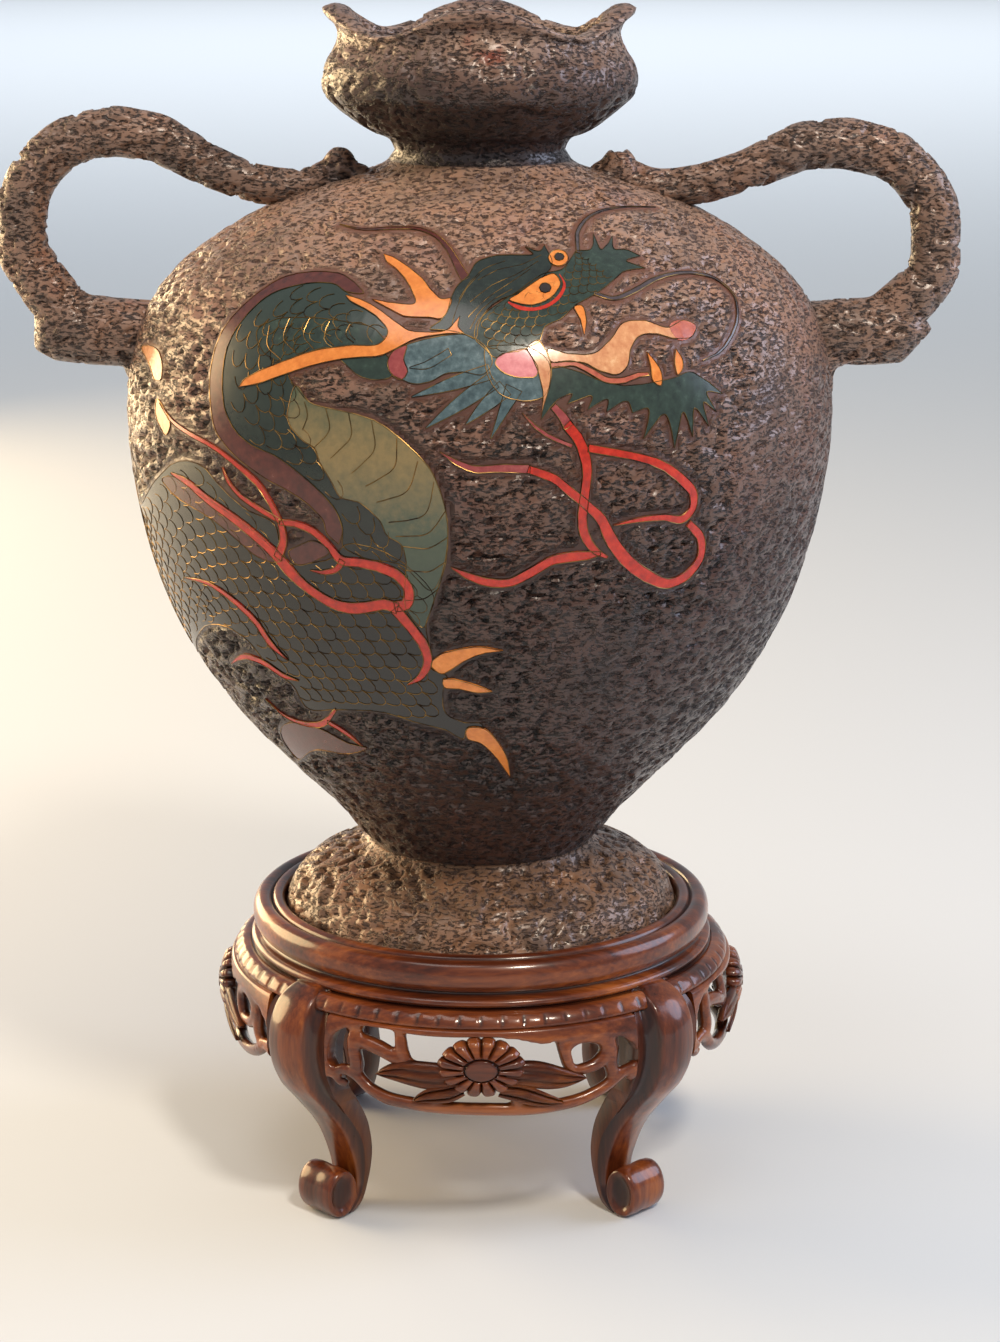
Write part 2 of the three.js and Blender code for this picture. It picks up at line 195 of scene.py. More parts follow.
# %% Floor and light
FLOOR_RADIUS = 16
floor_bm = bmesh.new()
bmesh.ops.create_circle(floor_bm, cap_ends=True, segments=96, radius=FLOOR_RADIUS)
floor_mesh = bpy.data.meshes.new("floor")
floor_bm.to_mesh(floor_mesh)
floor_bm.free()
floor = bpy.data.objects.new("floor", floor_mesh)
bpy.context.scene.collection.objects.link(floor)
floor_paint, floor_shader, _ = new_material("matt_studio_floor")
feed(floor_paint, floor_shader, {"Base Color": linear("#d2d6d9"), "Roughness": 0.8})
floor_mesh.materials.append(floor_paint)

AIM = (0, 0, 0.24)


def soft_light(name, place, size, watts, colour, aim=AIM, cone=180):
    """A round area light that looks at a place. Its cone is in degrees."""
    light = bpy.data.lights.new(name, "AREA")
    light.spread = math.radians(cone)
    light.shape = "DISK"
    light.size = size
    light.energy = watts
    light.color = linear(colour)[:3]
    lamp = bpy.data.objects.new(name, light)
    lamp.location = place
    lamp.rotation_euler = (Vector(aim) - Vector(place)).to_track_quat("-Z", "Y").to_euler()
    bpy.context.scene.collection.objects.link(lamp)


soft_light("ceiling_light", (0.45, -1.0, 1.35), 0.26, 15, "#fff1df")
soft_light("warm_window", (-1.3, 0.5, 0.5), 1.0, 24, "#ffdca6")
soft_light("warm_bounce", (-0.95, 1.25, 0.3), 0.8, 13, "#ffdca6")
soft_light("cool_window", (1.35, 0.1, 0.8), 1.0, 11, "#d5e2ff")
soft_light("high_fill", (-0.4, -0.6, 1.9), 0.9, 7, "#f6efe8")
soft_light("background_wash", (0, 7.5, 5), 10, 330, "#f2f6fc", aim=(0, 8.5, 0), cone=115)

world = bpy.data.worlds.new("studio")
bpy.context.scene.world = world
world.use_nodes = True
feed(world, world.node_tree.nodes["Background"], {"Color": linear("#dde3ea"), "Strength": 0.5})
bpy.context.scene.view_settings.view_transform = "Standard"
print(len(bpy.data.lights), "lamps")

# %% [markdown]
# ## The vase's outline
# Everything on the vase is turned, so one outline rules it: the body as a list of radius and height
# pairs in millimetres, read off the photograph's two edges. A smooth line runs through them. The same
# line carries the enamel later, so that the dragon bends round the belly with no fitting.

# %% The outline
WAIST_TO_NECK = [
    (38, 117.8), (43.4, 124), (49.7, 132), (57.5, 140), (67.2, 150), (76.7, 160), (86.4, 172),
    (95.5, 186), (103.5, 202), (109.7, 220), (114, 240), (116.6, 262), (116.1, 275), (113.2, 290),
    (108.3, 302), (101.3, 311), (88.6, 321.5), (72.6, 331), (56, 338), (42, 342.5), (34.5, 345),
    (30, 347.5), (27.8, 350.8),
]
BELLY_RADIUS = 116.6 * MM
BODY_SPACING = 1.2 * MM


def smooth_line(points, spacing, closed=False):
    """Points about a spacing apart on a smooth line through the given ones. A doubled point is a corner."""
    knots = [Vector(point) for point in points]
    count = len(knots)
    line = []
    for i in range(count if closed else count - 1):
        before, start, end, after = (
            knots[j % count] if closed else knots[min(max(j, 0), count - 1)] for j in range(i - 1, i + 3)
        )
        length = (end - start).length
        if length < 1e-9:
            continue
        into = (start - before).length or length
        out = (after - end).length or length
        speed_start = ((end - start) * into / length + (start - before) * length / into) / (into + length)
        speed_end = ((after - end) * length / out + (end - start) * out / length) / (out + length)
        steps = max(1, round(length / spacing))
        for k in range(steps):
            t = k / steps
            line.append(
                start * (2 * t**3 - 3 * t**2 + 1) + end * (3 * t**2 - 2 * t**3)
                + speed_start * length * (t**3 - 2 * t**2 + t) + speed_end * length * (t**3 - t**2)
            )
    if not closed:
        line.append(knots[-1])
    return line


def turning_line(pairs, spacing):
    """A smooth line through radius and height pairs in millimetres."""
    return smooth_line([(radius * MM, height * MM) for radius, height in pairs], spacing)


def heading(line, i, reach=1):
    """Which way a line goes at one of its points."""
    return line[min(i + reach, len(line) - 1)] - line[max(i - 1, 0)]


body_line = turning_line(WAIST_TO_NECK, BODY_SPACING)
body_reach = [0.0]
for below, above in zip(body_line, body_line[1:]):
    body_reach.append(body_reach[-1] + (above - below).length)
print("outline from waist to neck", round(body_reach[-1] / MM, 1), "mm in", len(body_line), "points")

# %% [markdown]
# ## From a flat drawing to the round body
# A cloisonne worker draws on a curved wall. Here a drawing is flat first: one axis runs round the belly,
# one runs up the outline, and the third stands out of the wall. `on_body` bends such a point on to the
# vase. `spot` finds the flat point behind a pixel, and `around` gives one by its angle and its height,
# for what the camera can't see.

# %% Flat points and round ones
SIGHT_START = 0.9
SIGHT_STEP = 2 * MM
SIGHT_FINE = 0.01 * MM


def between(value, keys):
    """The index below a value in a rising list, and the share of the way to the next."""
    low, high = 0, len(keys) - 1
    while high - low > 1:
        middle = (low + high) // 2
        if keys[middle] <= value:
            low = middle
        else:
            high = middle
    share = (value - keys[low]) / (keys[high] - keys[low])
    return low, min(max(share, 0), 1)


body_heights = [point.y for point in body_line]


def part_way(line, value, keys):
    """The point of a line at a value of the rising list that goes with it."""
    i, share = between(value, keys)
    return line[i].lerp(line[i + 1], share)


def radius_at(z):
    return part_way(body_line, z, body_heights).x


def reach_at(z):
    """How far up the outline a height is."""
    i, share = between(z, body_heights)
    return body_reach[i] + share * (body_reach[i + 1] - body_reach[i])


def round_point(radius, turn, height):
    """The point at a radius and a height, at an angle from the front, towards +X."""
    return Vector((radius * math.sin(turn), -radius * math.cos(turn), height))


def on_body(flat):
    """The point of the vase under a flat point (round, up, out)."""
    foot = part_way(body_line, flat[1], body_reach)
    along = heading(body_line, between(flat[1], body_reach)[0], 2).normalized()
    return round_point(foot.x + along.y * flat[2], flat[0] / BELLY_RADIUS, foot.y - along.x * flat[2])


def around(degrees, z_mm):
    """The flat point at an angle from the front, towards +X, and a height in millimetres."""
    return Vector((math.radians(degrees) * BELLY_RADIUS, reach_at(z_mm * MM)))


def spot(column, row):
    """The flat point of the body that the camera sees at a pixel, found by walking along its sight."""
    sight = sight_line(column, row)
    sight = sight / sight.y
    depth, step, nearest = SIGHT_START, SIGHT_STEP, (1, SIGHT_START)
    while step > SIGHT_FINE:
        point = EYE + sight * (depth + step)
        gap = math.hypot(point.x, point.y) - radius_at(point.z)
        nearest = min(nearest, (gap, depth + step))
        if gap < 0 or depth > -EYE.y:
            step *= 0.5
        else:
            depth += step
        if depth > -EYE.y:
            depth = nearest[1]
            break
    point = EYE + sight * depth
    return around(math.degrees(math.atan2(point.x, -point.y)), point.z / MM)


def flat_points(points):
    """Flat points of pixels. Those that are flat already stay."""
    return [point if isinstance(point, Vector) else spot(*point) for point in points]


def far(places):
    """Flat points of (degrees, height) places, for what the camera can't see."""
    return [around(*place) for place in places]


print("middle of the belly", [round(value / MM, 1) for value in spot(AXIS_COLUMN, 500)])

# %% [markdown]
# ## The bark ground
# The ground is a brown lacquer-like glaze over a rough coat: satin, warm brown on the ridges, with brick-red
# and plum patches where the coat is thin. The pits are painted nearly black, painted shade, and darkest where
# they are deepest, beside the enamel. The pits are 2 to 3 mm long, so the finer ones are a bump in the material
# and the larger ones are in the mesh. The rubbed rim round the enamel is smooth and a little lighter; a painted
# attribute tells the material where it is. The body and the mouth are also painted darker towards the bottom,
# as painted shade on their undersides.

# %% Bark material
PIT_LENGTH = 1.7 * MM
PIT_SQUEEZE = 2.3
PIT_WARP = 3 * MM
PIT_DEPTHS = (1.2 * MM, 2.6 * MM)
PATCH_SIZE = 30 * MM


def bark_material(name, pits, ground, shade=None):
    """Glazed ceramic with bark-like pits: satin, so that each ridge catches a soft light.

    The shade is a painted shade that darkens the ground towards the bottom: two heights and the colour steps
    between them that multiply it.
    """
    bark, shader, place = new_material(name)
    squeezed = add_node(bark, "Mapping", {"Vector": place, "Scale": (1, 1, PIT_SQUEEZE)}).outputs["Vector"]
    warp = cloud(bark, place, PIT_LENGTH / 0.4, detail=1, output="Color")
    shifted = add_node(bark, "VectorMath", {
        0: warp, 1: [PIT_WARP] * 3, 2: squeezed}, operation="MULTIPLY_ADD").outputs["Vector"]
    grain = cloud(bark, shifted, PIT_LENGTH / 0.85, detail=3, roughness=0.55)
    pit = spread(bark, grain, start=(0.33, 0.52), kind="SMOOTHSTEP")
    rubbed, window = painted(bark, "rubbed"), painted(bark, "window")
    # Painted shade: the pits are painted dark, near-black where the window attribute marks them deeper.
    pit_shade_colour = blend(bark, window, linear(pits), linear("#21140f"))
    patches = colour_steps(bark, cloud(bark, place, PATCH_SIZE, detail=4, roughness=0.6), ground)
    colour = blend(bark, rubbed, blend(bark, pit, pit_shade_colour, patches), linear("#77503f"))
    # Painted shade: the colour is multiplied by steps that run up between two heights, darker towards the
    # bottom.
    if shade:
        painted_light_heights, steps = shade
        share = spread(bark, height_of(bark, place), start=painted_light_heights)
        colour = blend(bark, 1.0, colour, colour_steps(bark, share, steps), kind="MULTIPLY")
    pitted = reckon(bark, "MULTIPLY", pit, reckon(bark, "SUBTRACT", 1.0, rubbed, clamp=True))
    feed(bark, shader, {
        "Base Color": colour, "Roughness": spread(bark, pit, end=(0.62, 0.32)),
        "Normal": relief(bark, pitted, spread(bark, window, end=PIT_DEPTHS), 1.0),
        "Coat Weight": 0.15, "Coat Roughness": 0.3})
    return bark


# The body's steps paint it darker towards the bottom: painted shade on the lower belly, which turns away from
# the light.
bark_brown = bark_material("bark_glaze_brown", "#5a4034", [
    (0.3, "#806557"), (0.45, "#a2836f"), (0.58, "#b28a72"), (0.72, "#906f64")], ((0.1, 0.35), [
        (0, "#71605f"), (0.4, "#655656"), (0.52, "#786b6b"), (0.7, "#b3a9a7"), (0.85, "#e4dddb"),
        (1, "#ffffff")]))

# %% [markdown]
# ## Enamel and wire
# Cloisonne enamel is glass, ground flush: a smooth coloured surface with a soft gloss and a slight
# mottling where grains of glass melted together. Each cell has its own colour. The large ones are painted
# darker towards the bottom as painted shade, and the belly plates carry a painted sheen of lighter tan.
# The wires between them are brass, darkened by age.

# %% Enamel and wire materials
MOTTLE = 2.5 * MM
TARNISH_SIZE = 6 * MM


def enamel(name, steps, painted_light_heights=None):
    """Flush enamel. Its colour steps run up between two heights as painted light, darker towards the bottom, or
    else they mottle.
    """
    glass, shader, place = new_material(name)
    mottle = cloud(glass, place, MOTTLE, detail=3, roughness=0.6)
    factor = mottle
    if painted_light_heights:
        rise = spread(glass, height_of(glass, place), start=painted_light_heights)
        factor = reckon(glass, "SUBTRACT", reckon(glass, "MULTIPLY_ADD", mottle, 0.3, rise), 0.15)
    feed(glass, shader, {
        "Base Color": colour_steps(glass, factor, steps), "Roughness": spread(glass, mottle, end=(0.2, 0.3)),
        "Normal": relief(glass, mottle, 0.03 * MM, 0.5), "Coat Weight": 0.3, "Coat Roughness": 0.2})
    return glass


def mottled(name, dark, middle, light, share=0.6):
    return enamel(name, [(0.3, dark), (share, middle), (0.8, light)])


# Painted shade: the scales are painted darker towards the bottom of the body. The belly plates too, with a
# painted sheen in their light tan band.
scale_green = enamel("enamel_scale_green", [
    (0, "#100d0b"), (0.35, "#191813"), (0.7, "#28322b"), (1, "#2a3833")], (185 * MM, 325 * MM))
belly_olive = enamel("enamel_belly_olive", [
    (0, "#2a3a30"), (0.45, "#495240"), (0.75, "#8c7850"), (1, "#4c553f")], (210 * MM, 290 * MM))
mane_green = mottled("enamel_mane_green", "#202b25", "#2d3c33", "#3f5145")
brow_green = mottled("enamel_brow_green", "#1a211d", "#242d27", "#303c34")
cheek_blue = mottled("enamel_cheek_blue", "#3a4b4f", "#526569", "#78898c", share=0.55)
fin_red = mottled("enamel_fin_brown_red", "#43201c", "#5a2a23", "#6b382d")
flame_red = mottled("enamel_flame_red", "#9c2010", "#c02a14", "#d23f24", share=0.55)
ribbon_pink = mottled("enamel_ribbon_rose", "#853436", "#9c4846", "#ad5e56")
horn_orange = mottled("enamel_horn_orange", "#d2752e", "#e68a3c", "#ee9c52")
tongue_salmon = mottled("enamel_tongue_salmon", "#a04a38", "#bb6248", "#cf8563")
tongue_cream = mottled("enamel_tongue_cream", "#c07a50", "#d79a6a", "#e6bb8c")
gum_pink = mottled("enamel_gum_pink", "#cc6f74", "#dd878a", "#e69c98")
smoke_grey = mottled("enamel_smoke_grey", "#3c3336", "#4f4548", "#615759")
pupil_dark = enamel("enamel_pupil_dark", [(0.3, "#2a211f"), (0.8, "#3a2d29")])

brass, brass_shader, brass_place = new_material("aged_brass_wire")
tarnish = colour_steps(brass, cloud(brass, brass_place, TARNISH_SIZE), [(0.35, "#33261a"), (0.65, "#8a6c3e")])
feed(brass, brass_shader, {"Base Color": tarnish, "Metallic": 1, "Roughness": 0.35})
print(len(bpy.data.materials), "materials so far")

# %% [markdown]
# ## Cells of enamel
# A cell is drawn as a closed outline, filled, cut into a grid fine enough to bend, given a thickness and
# bent on to the belly. A ribbon is a cell whose outline runs beside a centre line at a changing width. A
# wire follows every outline. Cells that lie over others, as the flames over the body, stand a few tenths
# of a millimetre higher, less than a finger would feel.

# %% Cell and wire tools
CELL_GRID = 5 * MM
CELL_DEPTH = 0.7 * MM
EDGE_SPACING = 1.2 * MM
WIRE_RADIUS = 0.15 * MM
WIRE_LIFT = 0.05
WIRE_RUN = 5 * MM
WIRE_BEND = math.radians(6)
HALF_PIXEL = 0.146 * MM
THINNEST = 0.05 * MM
cells = {}
wires = []


def mesh_of(bm):
    mesh = bpy.data.meshes.new("shape")
    bm.to_mesh(mesh)
    bm.free()
    return mesh


def everything(bm):
    return bm.verts[:] + bm.edges[:] + bm.faces[:]


def sheet(outline):
    """A flat sheet inside a closed outline."""
    bm = bmesh.new()
    bm.faces.new([bm.verts.new(point) for point in outline])
    bm.normal_update()
    bmesh.ops.triangulate(bm, faces=bm.faces[:])
    return bm


def other_side(bm):
    """Gives a sheet a second side on the spot, and returns the points of it."""
    grown = bmesh.ops.extrude_face_region(bm, geom=bm.faces[:])
    return [item for item in grown["geom"] if isinstance(item, bmesh.types.BMVert)]


def thicken(bm, push):
    """Makes a sheet a solid, its second side moved by a push."""
    bmesh.ops.translate(bm, verts=other_side(bm), vec=push)
    bmesh.ops.recalc_face_normals(bm, faces=bm.faces[:])


def thinned(line):
    """The points of a line that its bends need: a straight run keeps one in 5 mm."""
    kept = [line[0]]
    for here, ahead in zip(line[1:-1], line[2:]):
        run = here.xy - kept[-1].xy
        if run.length > WIRE_RUN or run.angle((ahead - here).xy, 0) > WIRE_BEND:
            kept.append(here)
    return kept + [line[-1]]


def draw_wire(line, lift, closed=False):
    """Keeps a wire along a flat line, at a lift in millimetres."""
    wires.append(([on_body((point.x, point.y, lift * MM)) for point in thinned(line)], closed))


def lay(outline, paint, lift, wired):
    """Adds one cell to the cells of its colour, at a lift in millimetres, with a wire round it."""
    bm = sheet([(point.x, point.y, 0) for point in outline])
    for axis in (0, 1):
        low = min(point[axis] for point in outline)
        high = max(point[axis] for point in outline)
        normal = Vector((1 - axis, axis, 0))
        for k in range(math.ceil(low / CELL_GRID), math.ceil(high / CELL_GRID)):
            bmesh.ops.bisect_plane(
                bm, geom=everything(bm), dist=1e-7, plane_co=normal * (k * CELL_GRID), plane_no=normal)
    thicken(bm, (0, 0, CELL_DEPTH))
    bmesh.ops.translate(bm, verts=bm.verts[:], vec=(0, 0, lift * MM - CELL_DEPTH))
    for vert in bm.verts:
        vert.co = on_body(vert.co)
    patch = mesh_of(bm)
    if paint.name not in cells:
        cells[paint.name] = bmesh.new()
    cells[paint.name].from_mesh(patch)
    bpy.data.meshes.remove(patch)
    if wired:
        draw_wire(outline, lift + WIRE_LIFT, closed=True)


def cell(points, paint, lift=0.3, wired=True):
    """A cell whose outline runs smoothly through pixels of the photograph, or through flat points."""
    lay(smooth_line(flat_points(points), EDGE_SPACING, closed=True), paint, lift, wired)


def ribbon(points, paint, lift=0.4, wired=True):
    """A ribbon along (column, row, width in pixels), or (flat point, width in pixels)."""
    knots = []
    for *place, width in points:
        flat = place[0] if isinstance(place[0], Vector) else spot(*place)
        knots.append(Vector((*flat, width * HALF_PIXEL)))
    line = smooth_line(knots, EDGE_SPACING)
    left, right = [], []
    for i, point in enumerate(line):
        ahead = heading(line, i)
        aside = Vector((-ahead.y, ahead.x)).normalized() * max(point.z, THINNEST)
        left.append(point.xy + aside)
        right.append(point.xy - aside)
    lay(left + right[::-1], paint, lift, wired)


def far_ribbon(places, paint, lift):
    """A ribbon along (degrees, height in mm, width in pixels)."""
    ribbon([(around(degrees, z), width) for degrees, z, width in places], paint, lift)


# %% [markdown]
# ## Drawing the dragon: the body
# The dragon is a traditional one: a scaly body that coils under a ridge fin, with broad belly plates. The
# cells are laid from the back forwards, as a painter would. Points are given where the photograph shows
# each cell's edge, only as many as its curve needs, and a doubled point makes a sharp corner.

# %% Body, belly and fins
BACK_EDGE = [
    (346, 292), (336, 285), (317, 283), (301, 285), (269, 296), (244, 319), (228, 347), (223, 379),
    (226, 411), (237, 432), (249, 443), (278, 457), (297, 471), (320, 491), (336, 510), (343, 531),
]
BELLY_EDGE = [
    (448, 539), (447, 516), (441, 493), (431, 470), (408, 445), (374, 420), (352, 413), (333, 409),
    (310, 402),
]
COIL = [
    *BACK_EDGE, (343, 545), (360, 556), (404, 566), (430, 590), *BELLY_EDGE, (294, 384), (289, 376),
    (291, 362), (316, 350), (392, 343), (392, 335), (370, 310),
]
LOWER_BODY = [
    *far([(-124, 252), (-112, 260), (-92, 266)]), (136, 498), (160, 476), (176, 462), (190, 461), (205, 468),
    (222, 488), (246, 509), (275, 525), (283, 553), (289, 562), (310, 563), (335, 556), (345, 545), (375, 548),
    (408, 566), (434, 598), (426, 625), (431, 655), (431, 668), (447, 676), (443, 691), (447, 714), (464, 722),
    (482, 724), (484, 732), (467, 728), (464, 738), (445, 729), (420, 723), (385, 712), (340, 709), (305, 705),
    (294, 686), (271, 668), (248, 640), (229, 627), (211, 624), (198, 636),
    *far([(-78, 187), (-95, 195), (-112, 202), (-124, 208)]),
]
BACK_BODY = far([
    (-124.4, 252), (-140, 240), (-158, 229), (-176, 226), (-194, 231), (-208, 244), (-218, 261), (-226, 279),
    (-233, 292), (-243, 297), (-243, 297), (-238, 284), (-230, 264), (-222, 242), (-210, 217), (-194, 197),
    (-176, 187), (-158, 188), (-140, 197), (-124.4, 208),
])
BELLY = [
    (296, 386), (290, 402), (288, 418), (304, 441), (315, 448), (320, 462), (331, 480), (340, 496), (361, 503),
    (372, 512), (381, 522), (387, 535), (401, 544), (406, 558), (405, 585), (408, 612), (424, 627), (429, 615),
    (436, 594), (445, 567), *BELLY_EDGE,
]
RIDGE_FIN = [
    (363, 294), (345, 276), (317, 272), (281, 279), (249, 301), (223, 331), (212, 365), (211, 402), (216, 430),
    (230, 450), (255, 471), (272, 482), (290, 491), (315, 510), (324, 521), (327, 533), (339, 544), (339, 544),
    *BACK_EDGE[::-1],
]
cell(COIL, scale_green, lift=0.2)
cell(LOWER_BODY, scale_green, lift=0.2)
cell(BACK_BODY, scale_green, lift=0.2)
cell([(334, 352), (388, 357), (392, 376), (374, 380), (356, 374), (345, 364)], mane_green, lift=0.2)
cell([
    (258, 330), (262, 350), (276, 360), (292, 362), (316, 350), (386, 342), (376, 330), (345, 322), (300, 318),
    (275, 320)], mane_green, lift=0.24)
cell(BELLY, belly_olive, lift=0.28)
cell(RIDGE_FIN, fin_red, lift=0.28)
cell([
    (163, 480), (172, 492), (193, 507), (213, 519), (238, 540), (257, 556), (275, 562), (283, 560), (265, 540),
    (240, 520), (215, 503), (190, 487), (176, 477)], fin_red, lift=0.28)
cell([(289, 553), (300, 545), (316, 541), (330, 551), (317, 560), (294, 562)], fin_red, lift=0.28)
cell([
    (283, 738), (298, 722), (325, 730), (350, 743), (367, 747), (350, 753), (320, 749), (295, 755)], fin_red)

# %% The dragon's far side
far_ribbon([
    (-112, 262, 1), (-125, 256, 13), (-140, 244, 16), (-158, 233, 15), (-176, 230, 14), (-194, 235, 12),
    (-208, 248, 10), (-218, 265, 8), (-226, 282, 6), (-234, 295, 1)], fin_red, lift=0.28)
FAR_BELLY = [
    (-118, 208, 4), (-132, 206, 26), (-145, 200, 36), (-160, 195, 38), (-176, 195, 34), (-193, 205, 26),
    (-208, 223, 18), (-219, 244, 10), (-226, 262, 2),
]
far_ribbon(FAR_BELLY, belly_olive, lift=0.36)
cell(far([
    (-146, 196), (-152, 188), (-153, 178), (-150, 169), (-154, 164), (-161, 166), (-166, 175), (-166, 186),
    (-162, 195)]), scale_green, lift=0.3)
for degrees, height in ((-137, 157), (-149, 146), (-167, 149)):
    far_ribbon([
        (-155, 168, 16), (0.5 * (degrees - 155), 0.5 * (height + 166), 13), (degrees, height, 1)],
        horn_orange, lift=0.36)
FAR_FLAMES = [
    [(-128, 262, 1), (-137, 268, 8), (-148, 262, 11), (-158, 250, 12), (-170, 246, 11), (-181, 254, 9),
     (-187, 266, 1)],
    [(-150, 262, 10), (-160, 270, 8), (-172, 268, 1)],
    [(-164, 184, 12), (-174, 178, 11), (-184, 180, 10), (-192, 190, 9), (-201, 192, 7), (-208, 186, 1)],
    [(-176, 178, 9), (-184, 170, 8), (-195, 168, 1)],
    [(-234, 290, 10), (-241, 282, 9), (-246, 270, 8), (-243, 258, 7), (-247, 248, 1)],
    [(-238, 294, 9), (-248, 292, 8), (-256, 284, 7), (-261, 272, 1)],
]
for flame in FAR_FLAMES:
    far_ribbon(flame, flame_red, lift=0.4)

# %% Flames and ribbons
FLAMES = [
    [(172, 473, 2), (188, 482, 8), (209, 500, 10), (229, 514, 11), (252, 532, 12), (275, 553, 13),
     (287, 567, 15), (300, 581, 12), (317, 594, 11), (335, 604, 12), (353, 608, 13), (372, 606, 12),
     (385, 604, 12), (398, 608, 13)],
    [(395, 606, 12), (406, 604, 12), (409, 590, 11), (399, 576, 11), (381, 567, 11), (358, 562, 10),
     (342, 560, 10), (328, 544, 8), (312, 530, 8), (294, 523, 7), (280, 522, 6)],
    [(395, 608, 13), (411, 627, 11), (424, 645, 11), (428, 661, 10), (420, 677, 7), (408, 684, 1)],
    [(278, 558, 10), (284, 540, 9), (282, 526, 8), (275, 510, 7), (259, 484, 7), (239, 466, 6), (216, 448, 5),
     (186, 431, 5), (172, 420, 4), (161, 403, 1)],
    [(223, 467, 2), (227, 478, 4), (239, 494, 5), (257, 507, 6), (281, 521, 6)],
    [(311, 570, 1), (326, 572, 5), (338, 568, 6), (343, 560, 7)],
    [(186, 577, 1), (213, 585, 5), (239, 604, 8), (257, 622, 9), (271, 643, 9), (289, 660, 1)],
    [(232, 663, 1), (248, 656, 7), (266, 663, 8), (284, 675, 7), (299, 680, 1)],
    [(266, 698, 1), (284, 714, 5), (305, 723, 7), (323, 723, 8), (336, 709, 3)],
    [(328, 721, 7), (349, 734, 7), (363, 746, 1)],
    [(566, 424, 11), (577, 437, 11), (584, 453, 11), (587, 471, 10), (586, 484, 9), (584, 499, 10),
     (582, 514, 10), (583, 530, 10), (588, 542, 9), (596, 551, 7), (607, 557, 3)],
    [(528, 469, 8), (555, 479, 9), (574, 495, 9), (587, 505, 9), (601, 519, 11), (611, 540, 13),
     (627, 561, 14), (649, 577, 13), (668, 583, 11), (686, 575, 11), (700, 556, 10), (700, 538, 10),
     (688, 523, 8)],
    [(588, 448, 8), (611, 452, 8), (638, 457, 8), (662, 465, 9), (681, 479, 10), (693, 495, 10),
     (692, 508, 9), (683, 518, 9), (664, 517, 7), (648, 518, 6), (630, 521, 4), (613, 525, 1)],
    [(451, 567, 1), (467, 575, 7), (488, 582, 9), (510, 582, 9), (531, 572, 10), (552, 560, 10),
     (574, 556, 11), (588, 555, 9), (600, 553, 4)],
]
for flame in FLAMES:
    ribbon(flame, flame_red, lift=0.4)
ribbon([(440, 452, 1), (456, 462, 5), (475, 469, 7), (499, 468, 8), (530, 469, 9)], ribbon_pink, lift=0.38)
ribbon([(553, 406, 7), (562, 416, 9), (569, 427, 11)], ribbon_pink, lift=0.38)
ribbon([(522, 413, 1), (532, 424, 3), (545, 434, 4), (572, 446, 4)], ribbon_pink, lift=0.32)
ribbon([
    (340, 225, 1), (363, 230, 3), (391, 229, 5), (416, 229, 5), (437, 237, 6), (451, 253, 8), (460, 270, 11),
    (466, 280, 12)], fin_red, lift=0.3)
ribbon([
    (578, 254, 5), (577, 235, 5), (585, 221, 4), (598, 213, 3), (622, 208, 2), (655, 208, 1)], smoke_grey)

# %% [markdown]
# ## Drawing the dragon: the head
# The head carries most of the colour: orange horns and eyes, a pink cheek, a cream tongue, and blue-green
# tufts that end in points. Each is a cell of its own, as in the real work, where a wire parts every
# colour from the next.

# %% Head
cell([
    (463, 335), (445, 336), (424, 340), (405, 346), (393, 352), (388, 362), (391, 373), (402, 380), (416, 384),
    (432, 381), (445, 374), (462, 372), (484, 374), (492, 364), (486, 348), (475, 339)], cheek_blue, lift=0.34)
cell([
    (407, 346), (393, 352), (388, 362), (391, 373), (402, 380), (408, 372), (404, 360)], ribbon_pink, lift=0.4)
TUFTS = [
    [(490, 372, 16), (455, 383, 14), (412, 397, 1)], [(494, 380, 18), (462, 402, 15), (426, 428, 1)],
    [(505, 388, 18), (487, 404, 14), (466, 424, 1)], [(514, 388, 18), (504, 410, 10), (491, 438, 1)],
    [(450, 352, 8), (425, 366, 7), (410, 368, 1)],
]
for tuft in TUFTS:
    ribbon(tuft, cheek_blue, lift=0.3)
cell([
    (545, 392), (552, 368), (579, 372), (606, 383), (627, 386), (649, 383), (673, 378), (690, 372), (705, 380),
    (722, 394), (722, 394), (706, 392), (716, 412), (716, 412), (703, 402), (708, 426), (708, 426), (694, 408),
    (692, 437), (692, 437), (683, 412), (674, 448), (674, 448), (664, 414), (643, 439), (643, 439), (647, 408),
    (632, 413), (632, 413), (628, 402), (606, 412), (606, 412), (608, 400), (587, 410), (587, 410), (592, 397),
    (567, 404), (567, 404), (572, 394), (560, 398), (541, 420), (541, 420)], mane_green, lift=0.34)
cell([
    (486, 348), (500, 346), (530, 348), (548, 362), (550, 380), (544, 396), (530, 401), (515, 400), (500, 394),
    (490, 381), (485, 364)], cheek_blue, lift=0.36)
SNOUT = [
    (475, 339), (476, 326), (490, 310), (515, 294), (545, 274), (562, 270), (571, 259), (576, 252), (589, 251),
    (593, 234), (593, 234), (600, 250), (612, 237), (612, 237), (614, 250), (627, 251), (640, 257), (640, 257),
    (626, 262), (645, 269), (645, 269), (622, 273), (611, 283), (598, 293), (588, 299), (576, 305), (560, 320),
    (545, 327), (538, 343), (529, 347), (518, 352), (506, 353), (495, 358), (486, 350)]
cell(SNOUT, mane_green, lift=0.38)
cell([
    (430, 329), (440, 322), (447, 313), (451, 299), (458, 286), (468, 277), (476, 264), (494, 257), (518, 256),
    (533, 255), (525, 248), (525, 248), (540, 252), (544, 246), (544, 246), (549, 255), (552, 263), (551, 268),
    (545, 276), (529, 286), (515, 295), (501, 300), (483, 316), (478, 327), (476, 339), (463, 334), (448, 331)],
    brow_green, lift=0.42)
